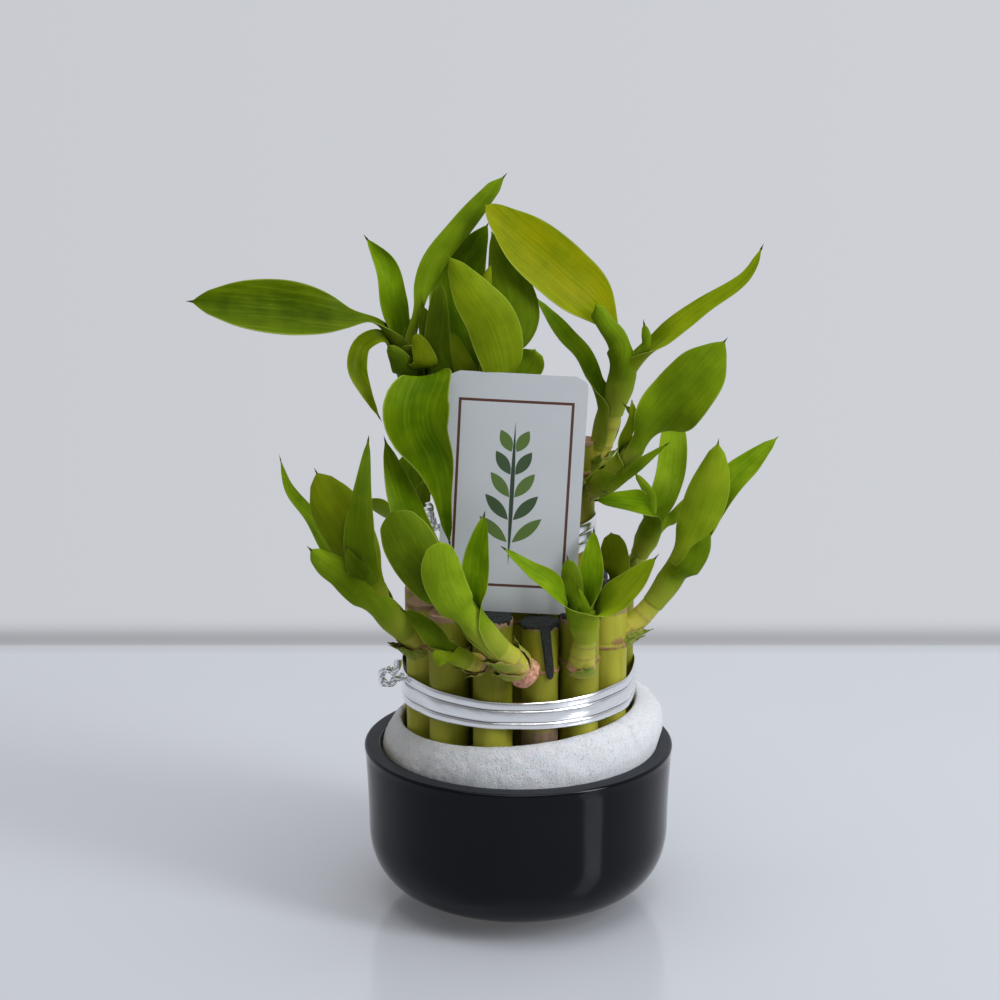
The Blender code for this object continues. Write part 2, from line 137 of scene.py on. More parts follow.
# Each shoot repeats its CAD stem's stalk and route, and nearly the CAD leaves' middles and tips.
# A blade: its name in the shoot, share of the stem where it leaves, the points it passes to its
# tip, its width at even steps from stem to tip, how pale it is, the way it faces, and its looks.
# Young and small ones have no CAD node. A scale: share of the stem, turn from the right, length,
# width.
SHOOTS = {
    "left": dict(route=((-31, -13, 92), (-38, -17, 100), (-45, -20, 110), (-48, -21, 119)),
                 radii=(3.9, 2.6), leaves=(
        blade("low", 0.6, ((-55, -30, 122), (-62, -33, 128), (-68, -35, 134)),
              (9, 10, 11, 11, 9, 5.5), 0.3, (0.2, -0.8, 0.6), cup=0.8),
        blade("broad", 0.92, ((-54, -26, 134), (-60, -27, 146), (-66, -24, 157)),
              (10, 14, 17, 18, 15, 8.5), -0.2, (0.2, -1, 0.1), cup=0.7, yellow=0.5),
        blade("back", 0.8, ((-61, -12, 127), (-69, -9, 137), (-76, -7, 146), (-79, -5, 157)),
              (7, 11, 12, 7, 4, 2), 0.3, (0.6, -0.6, 0.5)),
        blade("upright", 0.92, ((-51, -29, 129), (-51, -26, 143), (-49, -12, 165)),
              (8, 10.5, 10.5, 7.5, 4.5, 2.2), -0.3, (0.3, -1, 0)),
        blade("young", 0.98, ((-53, -31, 126), (-56, -32, 134)), (5, 6, 7, 6, 4, 2), -0.5,
              (0.2, -1, 0)),
    ), scales=((0.02, 190, 11, 9), (0.1, 215, 9, 8), (0.04, 250, 9, 6), (0.16, 150, 8, 8))),
    "front": dict(route=((3, -38.5, 91.5), (-4, -45, 100), (-12, -49, 109), (-18, -49, 117)),
                  radii=(5, 2.8), callus=1.6, leaves=(
        blade("broad", 0.86, ((-20, -56, 121), (-24, -57.7, 131), (-25, -57.7, 142)),
              (8, 11.5, 13, 13.5, 12, 8.6), 0.6, (0.1, -1, 0.2), spike=0.3),
        blade("left", 0.97, ((-28, -52, 128), (-34, -53, 139), (-40, -52, 150)),
              (7, 12, 15, 17, 16, 12), -0.8, (0.2, -1, 0.1), spike=0.3),
        blade("back", 0.8, ((-29, -42, 131), (-36, -39, 147), (-40, -36, 159), (-43, -34, 170)),
              (6, 9, 12, 11.5, 8, 4), -0.35, (0.3, -1, 0.2)),
        blade("upright", 0.75, ((-14, -47, 120), (-14, -44, 132), (-11, -40, 147)),
              (5, 8, 9, 8.5, 6, 3.2), -0.3, (0.2, -1, 0)),
    ), scales=((0.24, 225, 5, 6), (0.28, 190, 7, 7), (0.22, 60, 6, 5), (0.32, 240, 8, 8))),
    "front_left": dict(route=((-13, -36, 95), (-16, -40, 97), (-20, -42, 100), (-23, -43, 104)),
                       radii=(3.2, 2.2), callus=1, leaves=(
        blade("small_1", 0.8, ((-30, -47, 111), (-38, -47, 117)), (4, 6, 7, 6.5, 4.5, 2.5), -0.6,
              (0.3, -0.9, 0.4)),
        blade("small_2", 0.7, ((-24, -47, 100), (-29, -48, 104)), (5, 6, 6, 5, 3.5, 1.8), 0.5,
              (0, -1, 0.2), yellow=0.3),
    ), scales=((0.05, 250, 5, 6), (0.2, 200, 5, 6))),
    "front_right": dict(route=((20, -33.5, 92), (20.5, -35.5, 99), (21, -36.5, 106),
                               (20, -37, 113)), radii=(4.5, 3.2), callus=0.9, leaves=(
        blade("left", 0.85, ((11, -44, 123), (3, -47, 130), (-6, -49, 138)),
              (6, 7, 8, 6.5, 4.5, 2.4), 0.3, (0.2, -0.8, 0.6)),
        blade("broad", 0.85, ((29, -42, 117), (37, -44, 125.5), (44, -44, 134)),
              (11, 13, 12, 9.5, 6.5, 3.5), 0.7, (-0.3, -0.8, 0.6), yellow=0.5),
        blade("upright", 0.96, ((23, -34, 124), (24, -29, 139)), (5, 7, 8, 7.5, 5, 2.6), 0.1),
        blade("young_1", 0.93, ((17, -38, 121), (15, -37, 132)), (6, 7, 7, 7, 6, 4), -0.7,
              (0.1, -1, 0)),
        blade("young_2", 0.9, ((20, -43, 118), (18, -43, 124)), (4, 4, 4, 3, 2, 1), 0,
              (0.1, -1, 0)),
    ), scales=((0.03, 290, 5, 8),)),
    "right": dict(route=((32, -14, 96), (42, -12, 105), (50, -11, 116), (54, -11, 125)),
                  radii=(3.8, 2.8), leaves=(
        blade("broad", 0.97, ((59, -14, 138), (63, -14, 151), (65, -12, 164)),
              (9, 12, 14, 14, 10, 5.5), 0.9, (-0.1, -1, 0.1), yellow=0.3, sheath=0.5),
        blade("long", 0.88, ((68, -6, 145), (77, -3, 154), (85.9, 0, 162)),
              (6, 8, 10, 10.5, 8, 4.4), 0.3, (-0.5, -0.8, 0.4), spike=0.6),
        blade("sheath", 0.72, ((56, -19, 122), (63, -22, 136)), (8, 8, 8, 7, 5, 2), 0,
              (0.2, -1, 0.1)),
    ), scales=((0.02, 300, 5, 6), (0.06, 20, 6, 7), (0.12, 340, 7, 7))),
    "back_right": dict(route=((33, 9, 102), (38, 10, 112), (42, 9, 121), (45, 8, 129)),
                       radii=(3.5, 2.4), leaves=(
        blade("tall", 0.95, ((51, 10, 147), (52, 12, 169)), (6, 9, 10, 10, 9, 7), 1, (0, -1, 0.1)),
        blade("low", 0.88, ((44, 0, 137), (35, -7, 141), (24, -11, 143)), (5, 8.5, 11, 10.5, 8, 4),
              -0.1, (0.2, -0.6, 0.8)),
        blade("small_1", 0.92, ((54, 6, 135), (59, 8, 141)), (3, 4, 4, 4, 3, 2), 0.3),
        blade("small_2", 0.95, ((44, 4, 140), (38, 2, 150)), (4, 5, 5, 4, 3, 2), 0.5,
              (0.3, -1, 0.2)),
        blade("small_3", 0.12, ((33, 5, 115), (31, 4, 128)), (7, 8.5, 9.5, 9.5, 8.2, 5.4), -0.3,
              yellow=0.5, spike=0.2),
    ), scales=((0.08, 60, 6, 7), (0.35, 250, 8, 6))),
    "top_right": dict(route=((24, 1, 150), (28, 0, 161), (32, -2, 175), (35, -3, 188)),
                      radii=(3.9, 2.9), callus=0.8, leaves=(
        blade("folded", 0.86, ((34, -10, 194), (29, -14, 202), (24, -16, 209)),
              (12, 13, 11, 9.5, 8.5, 7.5), -0.1, (0.4, -0.9, 0.3), cup=1.3, spike=0.5),
        blade("long", 0.93, ((48, -6, 197), (59, -5, 206), (70, -4, 213), (75, -3, 218),
              (79, -1, 226)), (12, 10, 7.6, 5.4, 4.3, 2.6), 0.3, (-0.4, -0.9, 0.3), yellow=0.5),
        blade("arching", 0.96, ((26.5, -6, 205), (14, -9, 217.5), (0.5, -12, 229.5),
              (-11, -14, 240.5)), (5, 13, 19, 20, 16.5, 9), -0.1, (0.4, -0.9, 0.2), cup=0.25,
              yellow=1, spike=0.4),
        blade("narrow", 0.55, ((22, 4, 187), (15, 7, 195), (5, 13, 207)), (6, 7, 7.2, 6.5, 5, 2.8),
              -0.2, (0.4, -0.8, 0.4)),
        blade("small", 0.97, ((41, -9, 194), (40, -10, 203)), (4, 4, 4, 3, 3, 2), 0.2),
    ), scales=((0.02, 270, 8, 8), (0.12, 330, 8, 6))),
    "mid_right": dict(route=((23, -5, 145), (30, -14, 152), (36, -19, 160), (39, -21, 167)),
                      radii=(3.5, 2.3), callus=0.8, leaves=(
        blade("broad", 0.85, ((45, -26, 173.5), (55, -28, 187), (66, -25, 200)),
              (9, 15.5, 20, 20, 15.5, 7), 0, (-0.4, -0.9, 0.3), cup=0.3),
        blade("small_1", 0.6, ((39, -16, 169), (33, -15, 177)), (3, 4, 4, 3, 3, 2), -0.6,
              (0.6, -0.8, 0.2)),
        blade("small_2", 0.35, ((38, -25, 158), (48, -26, 166)), (5, 4.5, 4, 3.5, 2.5, 1.5), 0,
              (0.3, -0.8, 0.3)),
        blade("small_4", 0.55, ((36, -22, 172), (36, -21, 179)), (4, 4, 3.8, 3.4, 2.6, 1.6), 0.3,
              yellow=0.4, spike=0.4),
        blade("small_3", 0.3, ((36, -12, 157), (35, -11, 167)), (5, 5, 5, 4, 3, 2), -0.2,
              yellow=0.5),
    ), scales=((0.04, 200, 6, 6), (0.14, 260, 7, 6))),
    "top_left": dict(route=((-24, -1, 149), (-30, -7, 164), (-34, -11, 181), (-37, -13, 197)),
                     radii=(3.9, 2.8), leaves=(
        blade("long", 0.93, ((-46, -17, 203), (-56, -19, 205), (-70, -22, 208), (-86, -25, 210),
              (-104.9, -28, 212)), (4, 4.5, 14, 19, 15.5, 8), -0.95, (0.1, -0.8, 0.5), cup=0.3,
              yellow=0.12),
        blade("upright", 0.96, ((-41, -11, 209), (-43, -9, 220), (-50, -7, 230)),
              (7, 9, 10, 9, 6, 2.6), 0.1, (0.4, -0.9, 0.1), cup=0.7, twist=-30),
        blade("hanging", 0.78, ((-43, -17, 198), (-50, -20, 197), (-52, -23, 190), (-49, -25, 182),
              (-44, -27, 173)), (4, 3, 5.5, 7, 4.5, 2.3), -0.8, (0.4, -0.9, 0.2), yellow=0.3),
        blade("tall", 0.97, ((-31, -13, 207), (-29.5, -12, 215), (-26, -11, 223), (-18, -10, 233),
              (-4, -8, 249.8)), (5, 8, 9.5, 8.5, 7.5, 5.5), 0.2, (0.5, -0.85, 0.2), cup=0.8),
        blade("drooping", 0.7, ((-29, -29, 188), (-32, -37, 181), (-31.5, -40, 173),
              (-26, -40, 160), (-22, -40, 135)), (10, 15, 22, 14.5, 6, 3.4), -0.5, (-0.1, -1, 0.1),
              cup=0.35, open=0.08),
        blade("small_1", 0.9, ((-30, -17, 198), (-31, -16, 210)), (5, 5, 4.5, 4.5, 4, 2.5), -0.9),
        blade("small_2", 0.8, ((-30, -22, 191), (-34, -20, 202)), (7, 8, 8, 7, 5.5, 3.5), -0.6,
              yellow=0.6),
        blade("small_3", 0.74, ((-38, -21, 191), (-43, -21, 198)), (8, 8, 8, 7, 5, 3), -1),
    ), scales=((0.06, 90, 8, 8), (0.25, 250, 9, 8))),
    "top_centre": dict(route=((-2, -20, 152), (-4, -22, 161), (-8, -21, 173), (-11, -18, 186)),
                       radii=(3.2, 2.4), leaves=(
        blade("front", 0.8, ((-4.5, -26, 189), (-8, -28, 204), (-14.5, -29, 214),
              (-22.5, -26, 226)), (9, 14, 17, 16, 11.5, 6), -0.1, (0.2, -1, 0.2), yellow=0.4,
              spike=0.4),
        blade("back", 0.95, ((-19, -8, 202), (-19, -5, 217), (-10, -2, 233)),
              (9, 16, 20, 19, 12.5, 5.5), -0.6, (0.2, -1, 0), spike=0.4),
        blade("right", 0.95, ((-1.5, -13, 200), (-3, -12, 214), (-9, -7, 231)),
              (8, 14, 17, 15.5, 10, 4.5), -0.4, (0.2, -1, 0), spike=0.4),
        blade("small_1", 0.98, ((-11, -16, 211), (-9, -15, 223)), (5, 6.5, 6.5, 5.5, 4, 2.4), 0.5,
              yellow=0.8),
        blade("small_2", 0.85, ((2, -18, 189), (5, -19, 195)), (9, 10, 11.5, 11.5, 10, 6.5), -0.1,
              (0, -1, 0.1), spike=0.2),
        blade("small_3", 0.6, ((-25, -20, 192), (-26, -19, 206), (-25, -18, 217)),
              (7, 8.5, 9, 8.5, 7, 4.5), -0.9, spike=0.4),
        blade("small_4", 0.66, ((-18, -24, 191), (-22, -24, 203)), (8, 8.5, 8, 7, 5, 3), -0.7,
              yellow=0.3),
    ), scales=((0.2, 90, 8, 7), (0.45, 270, 8, 7))),
    "back_left": dict(route=((-25, 27, 95), (-30, 35, 105), (-34, 40, 116), (-36, 42, 124)),
                      radii=(3.7, 2.6), leaves=(
        blade("tall", 0.95, ((-38, 46, 132), (-40, 44, 147)), (7, 10, 12, 12, 8, 4), 0.1,
              (0.2, 1, 0)),
        blade("low", 0.75, ((-48, 50, 123), (-60, 53, 127)), (8, 11, 13, 12, 8, 4), 0.3,
              (-0.2, 0.7, 0.7)),
        blade("young", 0.97, ((-34, 40, 130), (-31, 38, 139)), (5, 6, 7, 6, 5, 3), -0.4, (0, 1, 0)),
    ), scales=((0.1, 60, 8, 8), (0.35, 250, 9, 7))),
    "back": dict(route=((8, 35, 94), (10, 43, 103), (12, 48, 113), (13, 50, 121)),
                 radii=(3.7, 2.6), leaves=(
        blade("tall", 0.95, ((12, 56, 136), (8, 56, 151)), (7, 11, 13, 13, 9, 4.5), 0, (0, 1, 0.1)),
        blade("low", 0.78, ((25, 55, 124), (38, 60, 131)), (7, 10, 12, 11, 7, 3.5), 0.4,
              (0.2, 0.6, 0.8)),
        blade("left_side", 0.86, ((0, 58, 128), (-10, 63, 139)), (7, 10, 12, 11, 7, 3.5), 0.1,
              (-0.2, 0.7, 0.7)),
        blade("young", 0.97, ((14, 51, 127), (17, 48, 137)), (5, 6, 7, 6, 5, 3), -0.4, (0, 1, 0)),
    ), scales=((0.1, 60, 8, 8), (0.35, 250, 9, 7))),
}


# ---------------------------------------------------------------- vectors and curves

def unit(vector):
    return vector / np.linalg.norm(vector)


def square_to(direction, hint):
    """The part of the hint that lies square to the direction, one long."""
    return unit(hint - direction * np.dot(hint, direction))


def turned(vector, axis, angle):
    """The vector turned about the axis."""
    return (vector * math.cos(angle) + np.cross(axis, vector) * math.sin(angle)
            + axis * np.dot(axis, vector) * (1 - math.cos(angle)))


def level_way(angle):
    """The level direction at an angle from the right."""
    return np.array((math.cos(angle), math.sin(angle), 0.0))


def turns(sides):
    return [FULL_TURN * i / sides for i in range(sides)]


def smooth(value, low=0.0, high=1.0):
    """0 below low, 1 above high, and a smooth step between them."""
    t = np.clip((value - low) / (high - low), 0.0, 1.0)
    return t * t * (3 - 2 * t)


def bump(value, centre, reach):
    """A round bump, 1 at the centre."""
    return np.exp(-((value - centre) / reach) ** 2)


def rough(point, size):
    """Smooth noise at a point in millimetres, about -1 to 1, with lumps of the given size."""
    return noise.noise(Vector(point) / size)


def hermite(a, b, slope_a, slope_b, t):
    """The smooth way from a to b with these slopes."""
    return (a * (2 * t ** 3 - 3 * t ** 2 + 1) + slope_a * (t ** 3 - 2 * t ** 2 + t)
            + b * (3 * t ** 2 - 2 * t ** 3) + slope_b * (t ** 3 - t ** 2))


def through(x, knots, values):
    """A smooth curve through the values at the knots."""
    slopes = np.gradient(values, knots)
    i = min(int(np.searchsorted(knots, x, side="right")) - 1, len(knots) - 2)
    step = knots[i + 1] - knots[i]
    return hermite(values[i], values[i + 1], slopes[i] * step, slopes[i + 1] * step,
                   (x - knots[i]) / step)


def spline(points, share):
    """A point on the smooth curve through the given points, and the direction there."""
    spans = len(points) - 1
    place = min(max(share, 0.0), 1.0) * spans
    i = min(int(place), spans - 1)
    t = place - i
    a, b = points[i], points[i + 1]
    before = points[i - 1] if i > 0 else a * 2 - b
    after = points[i + 2] if i + 2 <= spans else b * 2 - a
    m, n = (b - before) / 2, (after - a) / 2
    slope = (a * (6 * t ** 2 - 6 * t) + m * (3 * t ** 2 - 4 * t + 1)
             + b * (6 * t - 6 * t ** 2) + n * (3 * t ** 2 - 2 * t))
    return hermite(a, b, m, n, t), unit(slope)


def even_points(points, shares, skip=0, samples=300):
    """Places and directions at these shares of the curve's length past the skipped spans."""
    spans = len(points) - 1
    drawn = np.array([spline(points, (skip + (spans - skip) * i / samples) / spans)[0]
                      for i in range(samples + 1)])
    run = np.concatenate(([0.0], np.cumsum(np.linalg.norm(np.diff(drawn, axis=0), axis=1))))
    places, ahead = (np.stack([np.interp(shares * run[-1], run, column) for column in values.T], 1)
                     for values in (drawn, np.gradient(drawn, axis=0)))
    return places, ahead / np.linalg.norm(ahead, axis=1)[:, None], run[-1]


def carried(ahead, first):
    """Directions square to ahead, carried along the curve without turning about it."""
    sides = []
    side = first
    for direction in ahead:
        side = square_to(direction, side)
        sides.append(side)
    return np.array(sides)


# ---------------------------------------------------------------- meshes

def grid_faces(rows, columns, wrap=False, wrap_rows=False):
    """Quads between the rows of a grid of points."""
    faces = []
    for row in range(rows if wrap_rows else rows - 1):
        low, high = row * columns, (row + 1) % rows * columns
        for column in range(columns if wrap else columns - 1):
            beside = (column + 1) % columns
            faces.append((low + column, low + beside, high + beside, high + column))
    return faces


def sheet_faces(rows, columns):
    """Faces of a closed sheet, whose back repeats the grid of points of its front."""
    front = grid_faces(rows, columns)
    count = rows * columns
    border = ([i for i in range(columns - 1)]
              + [columns - 1 + columns * i for i in range(rows - 1)]
              + [count - 1 - i for i in range(columns - 1)]
              + [count - columns - columns * i for i in range(rows - 1)])
    back = [tuple(i + count for i in reversed(face)) for face in front]
    return front + back + [(b, a, a + count, b + count)
                           for a, b in zip(border, border[1:] + border[:1])]


def tube(rings, wrap_rows=False):
    """Points and faces of a closed tube through rings of equal count."""
    rings = np.asarray(rings)
    rows, columns = rings.shape[:2]
    faces = grid_faces(rows, columns, True, wrap_rows)
    if not wrap_rows:
        last = (rows - 1) * columns
        faces += [tuple(reversed(range(columns))), tuple(range(last, last + columns))]
    return rings.reshape(-1, 3), faces


def new_object(name, data):
    thing = bpy.data.objects.new(name, data)
    bpy.context.scene.collection.objects.link(thing)
    return thing


def make_piece(name, points, faces, material, slot=None, replaces=(), sharp=40, **attributes):
    """A mesh object from points in millimetres, riding on the part's one body."""
    data = bpy.data.meshes.new(name)
    data.from_pydata((np.asarray(points) * MM).tolist(), [], faces)
    data.materials.append(material)
    for key, values in attributes.items():
        layer = data.attributes.new(key, "FLOAT", "POINT")
        layer.data.foreach_set("value", np.float32(values) + np.zeros(len(points), np.float32))
    data.validate()
    data.shade_smooth()
    data.set_sharp_from_angle(angle=math.radians(sharp))
    piece = new_object(name, data)
    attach(piece, "root")
    if replaces:
        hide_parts(*replaces)
    return piece


def box_mm(node):
    """Lowest and highest corner of a CAD node in millimetres."""
    low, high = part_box(node)
    return np.array(low) / MM, np.array(high) / MM


# ---------------------------------------------------------------- fields

class Field:
    """A value that varies over a surface: a node's output. Sums of fields are maths nodes."""

    def __init__(self, socket):
        self.socket = socket

    def __add__(self, other):
        return maths("ADD", self, other)

    def __sub__(self, other):
        return maths("SUBTRACT", self, other)

    def __rsub__(self, other):
        return maths("SUBTRACT", other, self)

    def __mul__(self, other):
        return maths("MULTIPLY", self, other)

    def __truediv__(self, other):
        return maths("DIVIDE", self, other)

    def __abs__(self):
        return maths("ABSOLUTE", self)


def add_node(kind, inputs, output=0, tree=None, **settings):
    """The output of a new node, whose inputs are values or fields of the same tree."""
    tree = tree or next(i.socket.id_data for i in inputs.values() if isinstance(i, Field))
    node = tree.nodes.new(kind)
    for key, value in settings.items():
        setattr(node, key, value)
    for key, value in inputs.items():
        if isinstance(value, Field):
            tree.links.new(value.socket, node.inputs[key])
        else:
            node.inputs[key].default_value = value
    return Field(node.outputs[output])


def maths(operation, a, b=0.0):
    return add_node("ShaderNodeMath", {0: a, 1: b}, operation=operation)


def mix(factor, a, b, blend="MIX"):
    """Two colours, mixed by the factor."""
    a, b = (color if isinstance(color, Field) else (*color, 1.0) for color in (a, b))
    return add_node("ShaderNodeMix", {0: factor, 6: a, 7: b}, 2, data_type="RGBA",
                    blend_type=blend)


def remap(value, low, high, new_low=0.0, new_high=1.0):
    return add_node("ShaderNodeMapRange", {"Value": value, "From Min": low, "From Max": high,
                                           "To Min": new_low, "To Max": new_high}, "Result")


def spread(noise_field, low, high):
    """Noise whose usual values go from low to high."""
    return remap(noise_field, 0.3, 0.7, low, high)


def axes(vector):
    """The X, Y and Z of a field of vectors."""
    parts = add_node("ShaderNodeSeparateXYZ", {0: vector}).socket.node.outputs
    return [Field(part) for part in parts]


def cloud(vector, size, detail=3.0, roughness=0.5):
    """Noise from 0 to 1 whose lumps have the given size."""
    return add_node("ShaderNodeTexNoise", {"Vector": vector, "Scale": 1 / size, "Detail": detail,
                                           "Roughness": roughness}, "Fac")


def bumped(height, distance, strength=1.0, normal=None):
    """A surface normal from a height of 0 to 1, with the real depth in millimetres."""
    below = {"Normal": normal} if normal else {}
    return add_node("ShaderNodeBump", {"Height": height, "Distance": distance * MM,
                                       "Strength": strength, **below}, "Normal")


class Paint:
    """A material in the making, with the values that are the same all over the surface."""

    def __init__(self, name, **constants):
        self.material = bpy.data.materials.new(name)
        self.material.use_nodes = True
        self.tree = self.material.node_tree
        self.shader = self.tree.nodes["Principled BSDF"]
        for key, value in constants.items():
            self.shader.inputs[key.replace("_", " ")].default_value = value

    def layer(self, name):
        """A value that the mesh carries."""
        return add_node("ShaderNodeAttribute", {}, "Fac", self.tree, attribute_name=name)

    def place(self, *stretch):
        """The place on the piece in millimetres, with each axis stretched."""
        spot = add_node("ShaderNodeTexCoord", {}, "Object", self.tree)
        scale = tuple(1 / (MM * s) for s in stretch or (1.0, 1.0, 1.0))
        return add_node("ShaderNodeMapping", {"Vector": spot, "Scale": scale})

    def finished(self, color, roughness, normal=None):
        for key, field in (("Base Color", color), ("Roughness", roughness), ("Normal", normal)):
            if field:
                self.tree.links.new(field.socket, self.shader.inputs[key])
        return self.material


# ---------------------------------------------------------------- materials

def glaze_material():
    paint = Paint("black_glaze_look", Specular_IOR_Level=0.17)
    spot, rim, foot = paint.place(), paint.layer("rim"), paint.layer("foot")
    color = mix(cloud(spot, 14.0, 2.0), (0.0025, 0.0025, 0.005), (0.0045, 0.0045, 0.0075))
    color = mix(rim, color, (0.019, 0.022, 0.027))
    color = mix(foot, color, mix(cloud(spot, 0.8), (0.34, 0.23, 0.14), (0.58, 0.44, 0.30)))
    smear = spread(cloud(spot, 9.0), 0.07, 0.12)
    waves = bumped(cloud(spot, 16.0, 1.0), 0.25, 0.5)
    return paint.finished(color, smear + rim * 0.40 + foot * 0.6, waves)


def foam_material():
    paint = Paint("white_foam_look", Specular_IOR_Level=0.15, Subsurface_Weight=0.15,
                  Subsurface_Scale=0.002)
    spot = paint.place()
    pores = add_node("ShaderNodeTexVoronoi", {"Vector": spot, "Scale": 1 / 0.9}, "Distance",
                     feature="F1")
    shaded_pore = remap(pores, 0.08, 0.34)
    grain = cloud(spot, 0.6, 4.0, 0.7)
    tint = cloud(spot, 12.0, 2.0)
    fibres = cloud(paint.place(1.0, 1.0, 5.0), 0.55, 4.0, 0.7)
    color = mix(tint, (0.76, 0.765, 0.785), (0.83, 0.84, 0.86))
    # painted shade: the pores are painted darker, as their hollows lie in shade
    color = mix((1.0 - shaded_pore) * 0.35, color, (0.33, 0.33, 0.33))
    color = mix(remap(fibres, 0.45, 0.68, 0.0, 0.22), color, (0.42, 0.42, 0.41))
    # painted shade: the foam's left side, turned away from the light, is painted a warm grey
    damp = paint.layer("damp") * remap(tint, 0.3, 0.6, 0.5, 1.0)
    color = mix(damp * 0.40, color, (0.62, 0.59, 0.49))
    stain = paint.layer("stain") * remap(grain, 0.35, 0.55, 0.3, 1.0)
    color = mix(stain * 0.8, color, (0.24, 0.19, 0.10))
    normal = bumped(fibres, 0.45, 0.9, bumped(shaded_pore, 0.30, 0.7))
    return paint.finished(color, spread(grain, 0.8, 0.95), bumped(grain, 0.30, 0.8, normal))


def ribbon_material():
    paint = Paint("silver_ribbon_look", Metallic=1.0, Anisotropic=0.3)
    streaks = cloud(paint.place(16.0, 16.0, 0.4), 1.0, 4.0, 0.6)
    dents = cloud(paint.place(2.5, 2.5, 1.0), 3.0, 2.0)
    color = mix(streaks, (0.84, 0.85, 0.87), (0.97, 0.97, 0.98))
    # painted shade: the narrow furrows between the ribbon's ridges are painted dark
    color = mix(paint.layer("groove") * 0.75, color, (0.08, 0.08, 0.09))
    roughness = spread(cloud(paint.place(), 6.0, 3.0), 0.12, 0.26)
    return paint.finished(color, roughness, bumped(dents, 0.05, 0.4, bumped(streaks, 0.03, 0.4)))


def stalk_material():
    paint = Paint("stalk_look", Specular_IOR_Level=0.10)
    streaks = cloud(paint.place(1.0, 1.0, 22.0), 0.7, 4.0, 0.6)
    wide = cloud(paint.place(1.0, 1.0, 5.0), 5.0, 2.0)
    blotch = cloud(paint.place(), 2.2, 4.0, 0.65)
    # the tone carries painted light as well as the stalk's own tone: paler on the stalks painted as
    # lit and towards each stalk's bottom
    color = mix(paint.layer("tone"), (0.13, 0.14, 0.003), (0.46, 0.44, 0.05))
    color = mix(remap(wide, 0.35, 0.7, 0.0, 0.5), color, (0.20, 0.20, 0.008))
    color = mix(remap(streaks, 0.5, 0.8) * 0.3, color, (0.38, 0.36, 0.07))
    brown = mix(remap(blotch, 0.35, 0.65), (0.15, 0.055, 0.03), (0.40, 0.21, 0.12))
    color = mix(remap(blotch, 0.64, 0.72, 0.0, 0.3), color, brown)
    ring = remap(paint.layer("ring") + spread(blotch, -0.45, 0.25), 0.45, 0.85)
    color = mix(ring * 0.95, color, brown)
    cut = remap(paint.layer("cut") + spread(blotch, -0.25, 0.25), 0.35, 0.7)
    color = mix(cut, color, mix(blotch, (0.20, 0.10, 0.05), (0.50, 0.34, 0.20)))
    bark = paint.layer("bark") * remap(streaks, 0.2, 0.45)
    color = mix(bark, color, mix(streaks, (0.05, 0.028, 0.015), (0.34, 0.23, 0.15)))
    dry = maths("MAXIMUM", maths("MAXIMUM", ring, cut), bark)
    normal = bumped(blotch * dry, 0.35, 0.8, bumped(streaks, 0.05, 0.4))
    return paint.finished(color, spread(streaks, 0.34, 0.46) + dry * 0.35, normal)


def stem_material():
    """Side stems: pale and yellow at the bottom, with a pink callus where they leave the stalk."""
    paint = Paint("stem_look", Specular_IOR_Level=0.18, Subsurface_Weight=0.12,
                  Subsurface_Scale=0.001)
    spot = paint.place()
    fine, wide = cloud(spot, 1.2, 4.0, 0.6), cloud(spot, 6.0, 2.0)
    color = mix(remap(paint.layer("along"), 0.25, 0.9), (0.50, 0.46, 0.06), (0.20, 0.30, 0.012))
    color = mix(remap(wide, 0.4, 0.7, 0.0, 0.5), color, (0.28, 0.33, 0.02))
    pink = mix(remap(fine, 0.35, 0.65), (0.30, 0.12, 0.07), (0.82, 0.43, 0.30))
    foot = paint.layer("callus") + spread(fine, -0.35, 0.35)
    color = mix(remap(foot, 0.4, 0.7), color, pink)
    scar = paint.layer("ring") * remap(fine, 0.3, 0.6)
    color = mix(scar * 0.7, color, (0.30, 0.17, 0.07))
    return paint.finished(color, spread(fine, 0.36, 0.5), bumped(fine, 0.15, 0.6))


